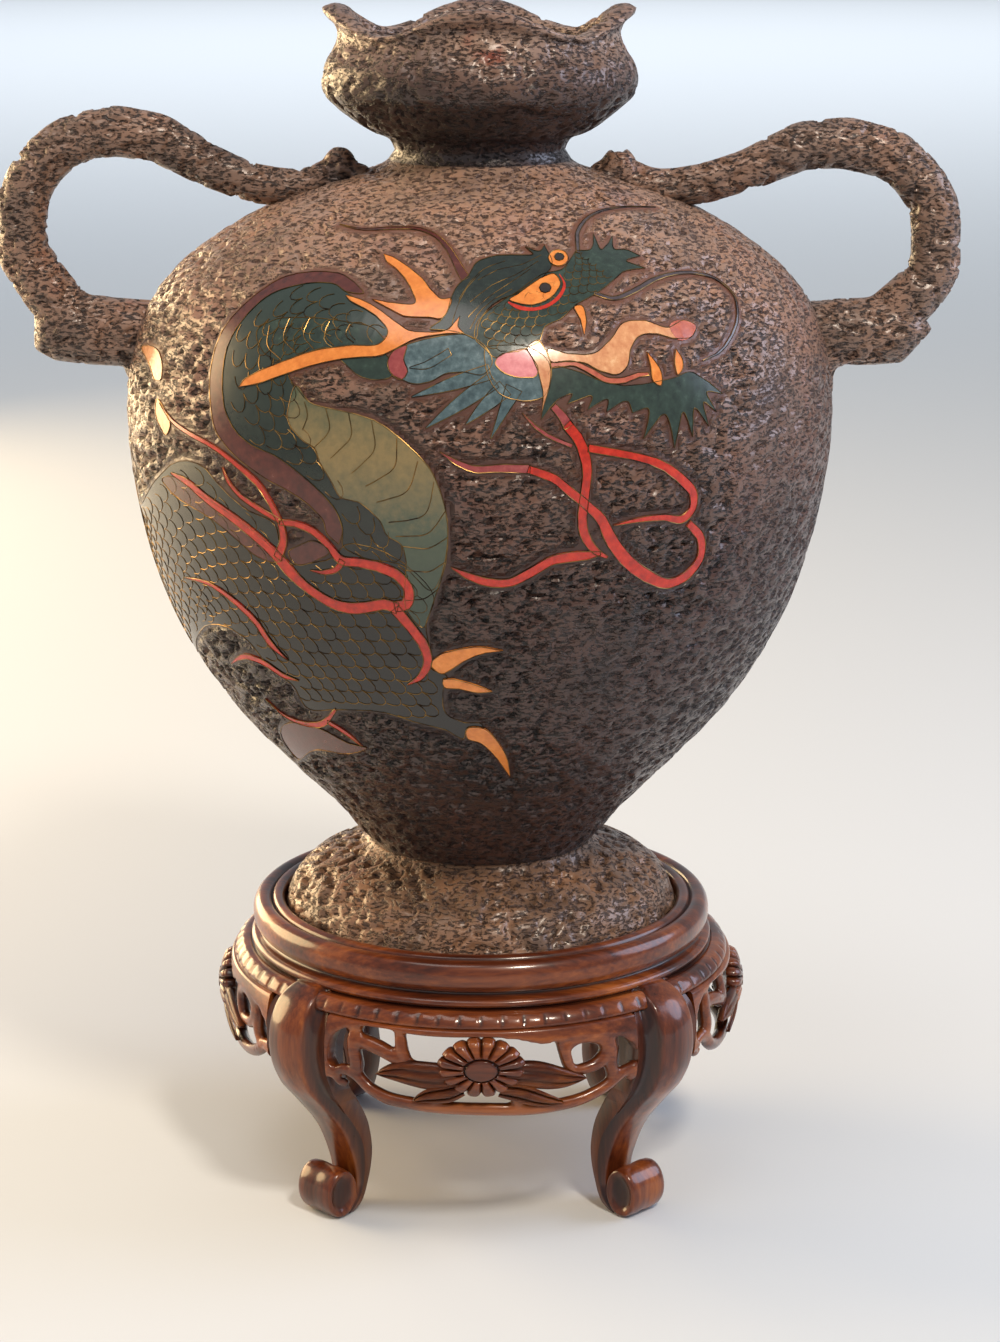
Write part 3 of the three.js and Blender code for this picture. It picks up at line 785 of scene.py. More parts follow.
cell([
    (384, 255), (384, 255), (391, 257), (407, 267), (423, 280), (434, 294), (442, 300), (451, 299), (447, 313),
    (442, 319), (430, 318), (402, 316), (389, 309), (372, 300), (372, 300), (395, 304), (415, 304), (409, 285),
    (398, 271), (386, 261)], horn_orange, lift=0.46)
cell([
    (346, 296), (346, 296), (363, 301), (379, 310), (395, 322), (409, 331), (425, 333), (448, 330), (460, 317),
    (460, 317), (458, 327), (464, 334), (464, 334), (450, 334), (432, 336), (414, 340), (400, 347), (384, 355),
    (350, 358), (315, 365), (281, 376), (258, 384), (240, 387), (240, 387), (244, 381), (258, 372), (281, 363),
    (315, 351), (350, 346), (384, 341), (388, 335), (379, 319), (363, 308), (350, 301)], horn_orange, lift=0.5)
cell([
    (509, 301), (518, 295), (533, 284), (545, 277), (554, 275), (560, 283), (556, 293), (545, 302), (529, 306),
    (517, 304)], horn_orange, lift=0.48)
ribbon([
    (508, 303, 2), (518, 308, 5), (533, 310, 4), (548, 306, 4), (560, 296, 4), (564, 284, 3), (559, 275, 1)],
    flame_red, lift=0.46, wired=False)


def disc(column, row, wide, high, paint, lift):
    """A round cell, as an eye or its pupil."""
    turns = [2 * math.pi * k / 8 for k in range(8)]
    cell([(column + wide * math.cos(turn), row + high * math.sin(turn)) for turn in turns], paint, lift)


disc(545, 289, 6, 5, pupil_dark, 0.54)
disc(558, 259, 10, 8, horn_orange, 0.5)
disc(559, 258, 5, 4, pupil_dark, 0.55)
cell([
    (495, 363), (499, 356), (511, 352), (526, 350), (533, 359), (538, 370), (536, 376), (524, 378), (511, 376),
    (501, 371)], gum_pink, lift=0.44)
cell([
    (547, 350), (568, 354), (595, 353), (611, 339), (622, 324), (643, 321), (667, 328), (685, 321), (695, 326),
    (692, 336), (675, 339), (654, 334), (638, 337), (630, 350), (627, 366), (619, 374), (600, 371), (584, 363),
    (568, 362), (550, 361)], tongue_cream, lift=0.4)
cell([(669, 328), (685, 321), (695, 326), (692, 336), (676, 339)], tongue_salmon, lift=0.45, wired=False)
ribbon([
    (550, 366, 6), (574, 364, 5), (590, 371, 6), (606, 380, 6), (625, 380, 6), (638, 375, 5), (648, 374, 3)],
    tongue_salmon, lift=0.44)
cell([
    (527, 349), (538, 341), (545, 350), (551, 368), (550, 384), (545, 400), (541, 415), (541, 415), (543, 395),
    (538, 372), (532, 358)], tongue_cream, lift=0.5)
cell([
    (646, 352), (646, 352), (654, 361), (661, 374), (660, 386), (653, 382), (650, 366)], horn_orange, lift=0.46)
cell([(675, 349), (675, 349), (682, 361), (682, 368), (677, 375), (674, 364)], horn_orange, lift=0.46)
cell([(574, 307), (581, 306), (586, 320), (584, 336), (584, 336), (580, 320)], horn_orange, lift=0.44)
ribbon([
    (594, 294, 5), (611, 299, 5), (633, 292, 5), (654, 280, 5), (676, 274, 4), (697, 274, 4), (716, 280, 4),
    (732, 294, 3), (737, 312, 3), (732, 334, 3), (718, 353, 2), (702, 361, 1)], smoke_grey, lift=0.42)

# %% Claws
cell([
    (431, 664), (440, 654), (457, 649), (478, 646), (503, 650), (503, 650), (482, 653), (463, 661), (451, 669),
    (442, 673)], horn_orange, lift=0.44)
cell([
    (443, 679), (449, 678), (465, 681), (481, 686), (492, 691), (492, 691), (478, 692), (459, 688), (444, 686)],
    horn_orange, lift=0.44)
cell([
    (467, 728), (482, 727), (497, 740), (507, 757), (510, 776), (510, 776), (503, 766), (493, 753), (480, 742),
    (467, 737)], horn_orange, lift=0.44)
cell([(143, 347), (152, 346), (161, 355), (163, 368), (162, 379), (156, 380), (151, 366)], tongue_cream)
cell([(157, 400), (165, 408), (171, 425), (167, 435), (160, 425), (156, 410)], tongue_cream)
print(len(wires), "wires so far,", len(cells), "colours of enamel")

# %% [markdown]
# ## Scales
# The scales are wire alone: rows of arcs, each set between two of the row before, on one colour of
# enamel. They are laid across a line down the middle of the body, and those outside its cell are left out.

# %% Scales and belly plates
SCALE_WIDE = 5.8 * MM
SCALE_STEP = 4.8 * MM
SCALE_LIFT = 0.24
ARC_POINTS = 7
LOOSE_SPACING = 3 * MM
PLATE_SPACING = 7 * MM


def inside(point, outline):
    """Whether a flat point is inside a closed outline, by counting crossings."""
    crossings = 0
    for a, b in zip(outline, outline[1:] + outline[:1]):
        if (a.y > point.y) != (b.y > point.y):
            crossings += point.x < a.x + (point.y - a.y) * (b.x - a.x) / (b.y - a.y)
    return crossings % 2 == 1


def scale_rows(middle_line, half_width, outline, without=None, wide=SCALE_WIDE, step=SCALE_STEP,
               lift=SCALE_LIFT):
    """Rows of arcs across a line, kept inside the outline and outside the one they go without."""
    edge = smooth_line(flat_points(outline), LOOSE_SPACING, closed=True)
    hole = smooth_line(flat_points(without), LOOSE_SPACING, closed=True) if without else []
    line = smooth_line(flat_points(middle_line), step)
    columns = math.ceil(half_width / wide)
    for row, (here, ahead) in enumerate(zip(line, line[1:])):
        along = (ahead - here).normalized()
        aside = Vector((-along.y, along.x))
        for k in range(-columns, columns + 1):
            middle = here + aside * wide * (k + 0.5 * (row % 2))
            if not inside(middle, edge) or inside(middle, hole):
                continue
            turns = [math.pi * j / (ARC_POINTS - 1) for j in range(ARC_POINTS)]
            bow = [middle + aside * 0.5 * wide * math.cos(turn) + along * step * math.sin(turn)
                   for turn in turns]
            if all(inside(point, edge) for point in bow):
                draw_wire(bow, lift)


scale_rows([
    (395, 338), (372, 318), (345, 304), (318, 302), (288, 312), (262, 338), (249, 372), (256, 405), (275, 430),
    (305, 452), (338, 480), (365, 520), (378, 560)], 26 * MM, COIL, BELLY)
scale_rows([
    *far([(-112, 240), (-92, 240)]), (150, 545), (200, 560), (250, 590), (310, 630), (370, 665), (440, 700)],
    34 * MM, LOWER_BODY)
scale_rows(far([
    (-121, 231), (-140, 221), (-158, 210), (-176, 207), (-194, 215), (-209, 232), (-220, 252), (-229, 272),
    (-237, 288)]), 24 * MM, BACK_BODY)
scale_rows([(600, 268), (575, 290), (548, 315), (520, 335), (490, 345)], 14 * MM, SNOUT,
           wide=3.4 * MM, step=2.8 * MM, lift=0.34)
BROW_HAIRS = [
    [(541, 256), (520, 266), (497, 271), (478, 281)], [(538, 262), (515, 276), (492, 286), (470, 303)],
    [(530, 270), (508, 285), (486, 300), (468, 318)], [(505, 262), (484, 270), (470, 283), (459, 300)],
    [(480, 275), (466, 290), (457, 308), (452, 325)], [(512, 290), (494, 300), (477, 316), (470, 330)],
]
for hair in BROW_HAIRS:
    draw_wire(smooth_line(flat_points(hair), LOOSE_SPACING), 0.38)
far_run = smooth_line([
    Vector((*around(degrees, z), width * HALF_PIXEL)) for degrees, z, width in FAR_BELLY], PLATE_SPACING)
for here, ahead in zip(far_run[1:-2], far_run[2:-1]):
    along = (ahead - here).xy.normalized()
    aside = Vector((-along.y, along.x)) * here.z * 0.92
    bow = [here.xy + aside * share + along * 2 * MM * (1 - share * share) for share in (-1, -0.5, 0, 0.5, 1)]
    draw_wire(bow, 0.42)
PLATES = [
    [(305, 402), (308, 415), (303, 430)], [(326, 408), (330, 429), (315, 447)],
    [(349, 413), (352, 434), (331, 458)], [(372, 421), (375, 448), (352, 473)],
    [(397, 438), (395, 466), (366, 486)], [(418, 461), (407, 491), (377, 502)],
    [(434, 482), (425, 514), (389, 522)], [(446, 510), (428, 533), (396, 536)],
    [(448, 537), (428, 548), (403, 546)], [(445, 562), (430, 571), (406, 570)],
    [(439, 588), (425, 598), (406, 600)], [(270, 326), (268, 345), (282, 360)],
    [(290, 319), (284, 338), (296, 352)], [(310, 319), (304, 334), (314, 349)],
    [(330, 322), (325, 334), (334, 346)], [(350, 325), (346, 335), (354, 343)],
]
for plate in PLATES:
    draw_wire(smooth_line(flat_points(plate), EDGE_SPACING), 0.36)
print(len(wires), "wires")

# %% [markdown]
# ## From drawing to pieces
# Each colour of enamel becomes one piece of many cells, and all the wires become one piece: a curve with
# a round section, turned into a mesh. Every piece rides on the part's one body.

# %% Making the enamel and wire pieces
CELL_EDGE = math.radians(50)
OTHER_EDGE = math.radians(75)


def add_piece(name, mesh, paint):
    """A piece of the part's one body: a mesh that is smooth but for its sharp edges, in one finish."""
    mesh.materials.clear()
    mesh.materials.append(paint)
    mesh.name = name
    mesh.shade_smooth()
    mesh.set_sharp_from_angle(angle=CELL_EDGE if name.startswith("inlay_") else OTHER_EDGE)
    piece = bpy.data.objects.new(name, mesh)
    bpy.context.scene.collection.objects.link(piece)
    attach(piece, "root")
    print(name, sum(len(face.vertices) - 2 for face in mesh.polygons), "triangles")
    return piece


def tubes(lines, radius, sides):
    """A mesh of round tubes along (points, closed) lines. A point may hold its own share of the radius."""
    curve = bpy.data.curves.new("tubes", "CURVE")
    curve.dimensions = "3D"
    curve.bevel_depth = radius
    curve.bevel_resolution = (sides - 4) // 2
    curve.use_fill_caps = True
    for points, closed in lines:
        spline = curve.splines.new("POLY")
        spline.points.add(len(points) - 1)
        for knot, point in zip(spline.points, points):
            knot.co = (*point[:3], 1)
            knot.radius = point[3] if len(point) > 3 else 1
        spline.use_cyclic_u = closed
    holder = bpy.data.objects.new("tubes", curve)
    mesh = bpy.data.meshes.new_from_object(holder)
    bpy.data.objects.remove(holder)
    return mesh


for paint_name, gathered in cells.items():
    piece_name = paint_name.replace("enamel_", "inlay_")
    add_piece(piece_name, mesh_of(gathered), bpy.data.materials[paint_name])
add_piece("inlay_wires", tubes(wires, WIRE_RADIUS, sides=4), brass)

# %% [markdown]
# ## The body with its bark
# The body is spun from the outline in two rings, fine enough that the pits are real shape. Each point of
# the outside asks how far the nearest enamel is: beside it the ground is rubbed flat, further off the
# pits go in and the ridges stand out. The pits are drawn out round the vase, as on the real ground. The
# noise has a seed, so that every run gives the same bark.

# %% Turned pieces and bark
BODY_COLUMNS = 480
WALL = 5.5 * MM
SPLIT_Z = 238 * MM
THROAT_Z = 347 * MM
FLOOR_TOP_Z = 121.3 * MM
FLOOR_Z = 118 * MM
SEAM_FADE = (118 * MM, 121 * MM, 344.5 * MM, 347 * MM)
PIT_WAVE = 3.9 * MM
PIT_RISE = 1.1 * MM
WINDOW_RISE = 0.9 * MM
WINDOW_REACH = 20 * MM
WINDOW_FADE = (285 * MM, 325 * MM)
RUBBED_WIDTH = (1.2 * MM, 2.5 * MM)
RUBBED_RISE = 0.12 * MM
BARK_SEED = 7
noise.seed_set(BARK_SEED)


def turned(outline, columns):
    """A closed solid from a closed outline of radius and height points: a fine grid, rolled up and joined."""
    bm = bmesh.new()
    rows = len(outline)
    bmesh.ops.create_grid(bm, x_segments=columns, y_segments=rows, size=0.5)
    for vert in bm.verts:
        turn = 2 * math.pi * round((vert.co.x + 0.5) * columns) / columns
        radius, height = outline[round((vert.co.y + 0.5) * rows) % rows][:2]
        vert.co = round_point(radius, turn, height)
    bmesh.ops.remove_doubles(bm, verts=bm.verts[:], dist=1e-6)
    bmesh.ops.recalc_face_normals(bm, faces=bm.faces[:])
    return bm


def ease(value, low, high):
    """Runs softly from 0 at the low value to 1 at the high one."""
    share = min(max((value - low) / (high - low), 0), 1)
    return share * share * (3 - 2 * share)


def plateau(value, low, low_top, high_top, high):
    """Eases up from 0 to 1, stays, and eases down again."""
    return ease(value, low, low_top) * (1 - ease(value, high_top, high))


def bark_rise(point, wave):
    """How far the bark stands out, from about -1 in a pit to 0.5 on a ridge."""
    place = point / wave
    place = place + 0.55 * noise.noise_vector(0.7 * place)
    pit = noise.noise(place) + 0.45 * noise.noise(2.3 * place)
    swell = noise.noise(0.3 * place)
    return 0.35 * swell - ease(pit, 0.02, 0.42)


inlay_verts, inlay_faces = [], []
for piece in bpy.context.scene.objects:
    if piece.name.startswith("inlay_") and piece.name != "inlay_wires":
        first = len(inlay_verts)
        inlay_verts.extend(vert.co.copy() for vert in piece.data.vertices)
        inlay_faces.extend([first + i for i in face.vertices] for face in piece.data.polygons)
inlay_tree = BVHTree.FromPolygons(inlay_verts, inlay_faces)


def body_ring(name, outer, inner):
    """A ring of the body from its outer line, going up, and its inner line, going down."""
    bm = turned(outer + inner, BODY_COLUMNS)
    rubbed = bm.verts.layers.float.new("rubbed")
    window = bm.verts.layers.float.new("window")
    for vert in bm.verts:
        z = vert.co.z
        if vert.co.xy.length < radius_at(z) - 0.3 * WALL:
            continue
        up = reach_at(z)
        _, _, _, distance = inlay_tree.find_nearest(vert.co, WINDOW_REACH)
        bare = 1 if distance is None else ease(distance, *RUBBED_WIDTH)
        near = 0 if distance is None else 1 - ease(distance, 0.4 * WINDOW_REACH, WINDOW_REACH)
        rise = (PIT_RISE + WINDOW_RISE * near) * bark_rise(Vector((vert.co.x, vert.co.y, 1.9 * up)), PIT_WAVE)
        out = bare * plateau(z, *SEAM_FADE) * rise + (1 - bare) * RUBBED_RISE
        vert[rubbed] = 1 - bare
        # The window attribute deepens the pits' bump and paints them darker: painted shade in the deeper pits.
        vert[window] = near * (1 - ease(z, *WINDOW_FADE))
        vert.co = on_body((math.atan2(vert.co.x, -vert.co.y) * BELLY_RADIUS, up, out))
    return add_piece(name, mesh_of(bm), bark_brown)


def offset_line(line, distance):
    """A line of radius and height points moved to its left."""
    moved = []
    for i, point in enumerate(line):
        along = heading(line, i).normalized()
        moved.append(Vector((point.x - along.y * distance, point.y + along.x * distance)))
    return moved


split, throat = (next(i for i, point in enumerate(body_line) if point.y > z) for z in (SPLIT_Z, THROAT_Z))
inside_line = offset_line(body_line, WALL)
split_inner, throat_inner = (body_line[i] - Vector((WALL, 0)) for i in (split, throat))
low_inner = [split_inner, *inside_line[split - 8:10:-12]]
low_inner += [Vector((32 * MM, FLOOR_TOP_Z)), Vector((0, FLOOR_TOP_Z)), Vector((0, FLOOR_Z))]
belly_low = body_ring("vase_belly_low", body_line[:split + 1], low_inner)
high_inner = [throat_inner, *inside_line[throat - 6:split + 4:-8], split_inner]
body_ring("vase_belly_high", body_line[split:throat + 1], high_inner)

# %% [markdown]
# ## Mouth and foot
# The mouth opens from the narrow neck into a bulb with four lobes, whose tips curl outwards like petals.
# It is turned like the body, then its upper part is pushed in and down between the tips. The foot is a
# low bell with a shallow hollow underneath. Both carry a coarser bark than the body.

# %% Mouth and foot
MOUTH_LINE = [
    (27.8, 350.8), (29.2, 354.3), (35, 357), (41.5, 361), (47, 365.5), (50.2, 369), (51, 373.5), (50, 378),
    (47.2, 383), (45.6, 388), (46.4, 391.6), (48.4, 394.2), (48.6, 396), (47, 397.2), (44.2, 396.8),
    (42, 394), (41, 390), (41.2, 386), (42.5, 382), (45, 377.5), (45.3, 372), (41.5, 366.5), (35, 361.8),
    (28, 358.3), (23.8, 355), (22.3, 351), (24.4, 347.3),
]
FOOT_LINE = [
    (65.2, 91.9), (66.5, 93.5), (66.2, 96), (65.1, 99), (63.4, 103), (59.4, 107), (52.5, 110.6), (46, 113),
    (40.5, 115.2), (38, 117.8),
]
BULB_Z = 373.5 * MM
RIM_Z = 396.5 * MM
RIM_RADIUS = 46.5 * MM
LOBE_DROP = 8.5 * MM
LOBE_CURL = 3.8 * MM
MOUTH_COLUMNS = 320
FOOT_COLUMNS = 400
LATHE_SPACING = 1.1 * MM
FOOT_SOLE_Z = 91.85 * MM


def lobed(point):
    """The mouth's tips to the front, the back and the sides, thick as horns, with dips between them."""
    rise = min(max((point.z - BULB_Z) / (RIM_Z - BULB_Z), 0), 1.1)
    tip = 0.5 + 0.5 * math.cos(4 * math.atan2(point.y, point.x))
    radius = point.xy.length
    curled = radius + rise**3 * LOBE_CURL * (tip**2 - 0.75) + 0.6 * rise**2 * tip**4 * (radius - RIM_RADIUS)
    drop = rise**2 * LOBE_DROP * (1 - tip)
    return Vector((point.x * curled / radius, point.y * curled / radius, point.z - drop))


def barked(bm, wave, depth, where):
    """Pushes a piece's points along their normals by the bark, as far as `where` allows, 0 to 1."""
    bm.normal_update()
    normals = [vert.normal.copy() for vert in bm.verts]
    for vert, normal in zip(bm.verts, normals):
        stretched = Vector((vert.co.x, vert.co.y, 1.5 * vert.co.z))
        vert.co = vert.co + normal * depth * where(vert.co) * (bark_rise(stretched, wave) + 0.3)


def mouth_bark(point):
    return ease(point.z, 349 * MM, 356 * MM) * (1 - 0.7 * ease(point.z, 391 * MM, 396 * MM))


def foot_bark(point):
    outside = point.xy.length > 30 * MM
    return outside * plateau(point.z, 92 * MM, 95 * MM, 114 * MM, 117 * MM)


bark_dark = bark_material("bark_glaze_dark_brown", "#30211c", [
    (0.3, "#574239"), (0.45, "#7a6152"), (0.6, "#92705c"), (0.75, "#85503f")])
bark_copper = bark_material("bark_glaze_copper_brown", "#4a3429", [
    (0.3, "#5a4334"), (0.45, "#7d5f4a"), (0.6, "#976f53"), (0.75, "#8a5b46")])
# The mouth's steps paint it darker towards the bottom and under the bulb, painted shade, with a cool grey tint
# at the neck.
bark_mouth = bark_material("bark_glaze_mouth_brown", "#3d2a24", [
    (0.3, "#6a554b"), (0.45, "#8f7567"), (0.62, "#a1826e"), (0.7, "#974f3a")], ((346 * MM, 398 * MM), [
        (0, "#86858f"), (0.2, "#6b6066"), (0.4, "#6b5f60"), (0.6, "#b5a8a2"), (0.8, "#ffffff"),
        (1, "#cdbfba")]))

neck_radius, neck_z = body_line[throat]
mouth_line = turning_line(MOUTH_LINE, LATHE_SPACING)
mouth_bm = turned([body_line[throat], *mouth_line, Vector((neck_radius - WALL, neck_z))], MOUTH_COLUMNS)
for vert in mouth_bm.verts:
    vert.co = lobed(vert.co)
barked(mouth_bm, 4 * MM, 1.1 * MM, mouth_bark)
add_piece("vase_mouth", mesh_of(mouth_bm), bark_mouth)

foot_line = turning_line(FOOT_LINE, LATHE_SPACING)
foot_line += [Vector((r * MM, z * MM)) for r, z in [(0, 117.8), (0, 114.3), (30, 111), (58, 91.9)]]
foot_bm = turned(foot_line, FOOT_COLUMNS)
barked(foot_bm, 4.4 * MM, 1.6 * MM, foot_bark)
for vert in foot_bm.verts:
    vert.co.z = max(vert.co.z, FOOT_SOLE_Z)
add_piece("vase_foot", mesh_of(foot_bm), bark_copper)

# %% [markdown]
# ## Twig handles
# Each handle is a twig: thin where it leaves a pruned stub near the neck, thick where it roots in the
# side. A tube of changing width gives the run, a few balls give the stub and the root, and a voxel
# remesh grows them into one skin, as clay smoothed by a finger. Then the bark is pushed into it.

# %% Handles
TWIG = [
    (37, 340.5, 4.2), (47, 342.5, 5.2), (60, 338.5, 5.8), (72, 339.3, 6.1), (86, 343.5, 6.5),
    (99, 348.8, 7.2), (111, 352, 7.8), (122, 352, 8), (133.5, 349, 7.9), (143, 341.5, 7.8), (149, 331, 7.9),
    (150, 319, 8), (146.5, 307, 8.4), (137, 297, 8.8), (124.5, 292, 9.6), (112, 290, 11), (104, 289.5, 11),
]
BALLS = [
    (45.5, 0, 344.5, 5.6, 5.2, 6.6), (112, 0, 283, 6, 9, 12), (113.5, 0, 273.5, 3.5, 6, 8),
    (109, 5.5, 287, 6, 7, 9), (109, -5.5, 286, 6, 7, 9), (38, 3, 341, 5, 4, 3), (38, -3, 341, 5, 4, 3),
]
TWIG_RADIUS = 8
TWIG_VOXEL = 0.95 * MM
LEFT_RISE = 4.2


def one_skin(mesh, voxel, rounds=3):
    """Grows a mesh of overlapping solids into one closed skin, and smooths it a few times."""
    blank = bpy.data.objects.new("blank", mesh)
    bpy.context.scene.collection.objects.link(blank)
    remesh = blank.modifiers.new("one_skin", "REMESH")
    remesh.mode = "VOXEL"
    remesh.voxel_size = voxel
    skin = bpy.data.meshes.new_from_object(blank.evaluated_get(bpy.context.evaluated_depsgraph_get()))
    bpy.data.objects.remove(blank)
    bm = bmesh.new()
    bm.from_mesh(skin)
    for _ in range(rounds):
        bmesh.ops.smooth_vert(
            bm, verts=bm.verts[:], factor=0.5, use_axis_x=True, use_axis_y=True, use_axis_z=True)
    return bm


def twig_handle(name, side, rise):
    """A handle to the right (side 1) or the left (side -1), whose outer part stands higher by a rise."""
    knots = []
    for x, z, radius in TWIG:
        lift = rise * ease(x, 70, 125) if z > 300 else 0.3 * rise * ease(x, 105, 140)
        knots.append(Vector((side * x * MM, 0, (z + lift) * MM, radius / TWIG_RADIUS)))
    twig = bmesh.new()
    twig.from_mesh(tubes([(smooth_line(knots, 2 * MM), False)], TWIG_RADIUS * MM, sides=16))
    for x, y, z, wide, deep, high in BALLS:
        place = Matrix.Translation((side * x * MM, y * MM, z * MM))
        size = Matrix.Diagonal((wide * MM, deep * MM, high * MM, 1))
        bmesh.ops.create_icosphere(twig, subdivisions=3, radius=1, matrix=place @ size)
    bm = one_skin(mesh_of(twig), TWIG_VOXEL)
    barked(bm, 4.6 * MM, 1.5 * MM, lambda point: 1)
    add_piece(name, mesh_of(bm), bark_dark)


twig_handle("vase_handle_right", 1, 0)
twig_handle("vase_handle_left", -1, LEFT_RISE)
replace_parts(belly_low, "vase")

# %% [markdown]
# ## Lacquered wood
# The stand is a close-grained hardwood under a red-brown lacquer. Its colour is painted near-black in the
# carved
# hollows, grooves and nicks: painted shade. A painted attribute says how hollow each place is, and so how dark
# its painted shade is. The grain runs along each piece of wood, so each direction has its own material.

# %% Wood material
GRAIN_WIDTH = 1.6 * MM
GRAIN_SQUEEZE = 0.09
FIGURE_SIZE = 16 * MM


def wood_material(name, along):
    """Lacquered hardwood whose grain runs along an axis, 0 to 2: semi-gloss, with soft streaks."""
    wood, shader, place = new_material(name)
    squeeze = [1.0, 1.0, 1.0]
    squeeze[along] = GRAIN_SQUEEZE
    run = add_node(wood, "Mapping", {"Vector": place, "Scale": squeeze}).outputs["Vector"]
    streak = cloud(wood, run, GRAIN_WIDTH, detail=4, roughness=0.6)
    figured = reckon(wood, "MULTIPLY_ADD", streak, 0.5, cloud(wood, run, FIGURE_SIZE))
    colour = colour_steps(wood, spread(wood, figured, start=(0.5, 1)), [
        (0.1, "#38170b"), (0.4, "#5b2811"), (0.65, "#7a3c18"), (0.9, "#965223")])
    feed(wood, shader, {
        # Painted shade: the hollow attribute blends the colour to near-black in recesses.
        "Base Color": blend(wood, painted(wood, "hollow"), colour, linear("#1c0b08")),
        "Roughness": spread(wood, streak, end=(0.24, 0.36)), "Normal": relief(wood, streak, 0.05 * MM, 0.4),
        "Specular IOR Level": 0.25, "Coat Weight": 0.6, "Coat Roughness": 0.12})
    return wood


wood_across = wood_material("lacquered_hardwood_grain_x", 0)
wood_deep = wood_material("lacquered_hardwood_grain_y", 1)
wood_upright = wood_material("lacquered_hardwood_grain_z", 2)

# %% [markdown]
# ## The turned top
# The board with its recess, lip, round mould and necking is turned in one piece. The slanted band under
# the necking is nicked with a chisel all round: each nick starts with a short upright cut and fades out.
# The band needs many more columns than the rest, so it is a ring of its own, sunk a little into the board.

# %% Top and nicked band
BOARD_LINE = [
    (84, 77), (85, 77.6), (84.3, 78.8), (81, 81.4), (79.4, 81.9), (78.3, 82.2), (79.2, 83), (79.3, 84.2),
    (78.2, 85.2), (76.4, 85.7), (75.6, 86.6), (77.2, 87.6), (78.3, 89.6), (78.6, 92), (78.2, 94.6),
    (76.8, 96.6), (74.8, 97.3), (73, 96.7), (72.2, 95.6), (71.7, 96.8), (70.4, 97.6), (68.8, 97.4),
    (68, 96.6), (68, 92.2), (67.4, 91.6),
]
NICKS = 76
COLUMNS_PER_NICK = 7
NICK_DEPTH = 0.75 * MM
BOARD_COLUMNS = 224
board_line = turning_line(BOARD_LINE, 0.55 * MM) + [Vector((0, 91.5 * MM)), Vector((0, 77 * MM))]
board_bm = turned(board_line, BOARD_COLUMNS)
# Painted shade: the ring groove, the lip groove and the undercut are painted dark.
hollow_shade_of = board_bm.verts.layers.float.new("hollow")
for vert in board_bm.verts:
    radius, height = vert.co.xy.length / MM, vert.co.z / MM
    ring_groove = 1 - abs(radius - 72.2) / 0.9 if height > 94 else 0
    lip_groove = 1 - abs(height - 86.4) / 1.1 if radius > 60 else 0
    under_cut = 1 - abs(height - 82) / 0.9 if radius > 60 else 0
    vert[hollow_shade_of] = 0.8 * ease(max(ring_groove, lip_groove, under_cut), 0, 1)
board = add_piece("stand_turned_top", mesh_of(board_bm), wood_across)

BAND_LINE = [(83.2, 77.2), (84.6, 77.2), (85.2, 77.9), (85, 78.7), (80.7, 82.1), (79.6, 82)]
band_line = turning_line(BAND_LINE, 0.7 * MM) + [Vector((79 * MM, 80 * MM))]
band_bm = turned(band_line, NICKS * COLUMNS_PER_NICK)
hollow_shade_of = band_bm.verts.layers.float.new("hollow")
for vert in band_bm.verts:
    share = (math.atan2(vert.co.x, -vert.co.y) / (2 * math.pi) * NICKS) % 1
    at_cut = share < 0.5 / COLUMNS_PER_NICK or share > 1 - 0.5 / COLUMNS_PER_NICK
    uneven = 0.9 + 0.5 * noise.noise(60 * vert.co)
    cut = plateau(vert.co.z / MM, 77.7, 78.6, 80.8, 81.7) * uneven
    cut *= 1 if at_cut else 0.5 * max(0, 1 - share / 0.6)
    inwards = 1 - NICK_DEPTH * cut / vert.co.xy.length
    vert.co = Vector((vert.co.x * inwards, vert.co.y * inwards, vert.co.z))
    # Painted shade: each nick is painted dark, darkest at its upright cut.
    vert[hollow_shade_of] = cut**2
add_piece("stand_nicked_band", mesh_of(band_bm), wood_across)
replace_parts(board, "stand_top")

# %% [markdown]
# ## Legs
# A leg is a row of level sections: a rounded rib in front with a fine edge, a hollow cove beside it that
# meets the apron, and a flat back. It narrows to the ankle and rolls outwards in a scroll. The scroll is a
# barrel with dished ends, set so that a dark crescent stays open between it and the ankle.

# %% Legs
LEG_ROWS = [
    (83.6, 79.5, 74.6, 3.2, 4.2), (83.1, 82, 74.6, 5, 6.8), (81.6, 84.4, 74.6, 6.4, 9.6),
    (79, 88, 74.6, 7.2, 11.4), (73, 91.9, 75.6, 7.5, 14), (64.7, 93.3, 77.4, 7.5, 14),
    (57, 92.3, 77.4, 7.5, 14), (50, 89.3, 74.6, 7.3, 13.2), (41, 82, 67.2, 7.1, 9.8),
    (28.5, 72.5, 60.2, 6.9, 7.6), (20, 68.9, 58.7, 6.7, 7.1), (14, 67.3, 59.3, 6.4, 6.9),
    (9.2, 67.2, 60.8, 6.5, 7), (5.5, 68.8, 62.6, 6.8, 7.4), (2.4, 72, 65, 7, 7.5), (0.5, 73, 67.6, 6.6, 7),
]
ROW_SPACING = 1.6
HALF_SECTION = 13
SCROLL_LINE = [(0, 0.76), (0.42, 0.78), (0.7, 0.86), (0.84, 0.97), (0.94, 0.95), (1, 0.72), (1, 0)]
SCROLL_COLUMNS = 40
TOE_CENTRE = (73.4, 8.5)
TOE_RADII = (6.4, 8.4)
TOE_HALF_WIDTH = 8.3


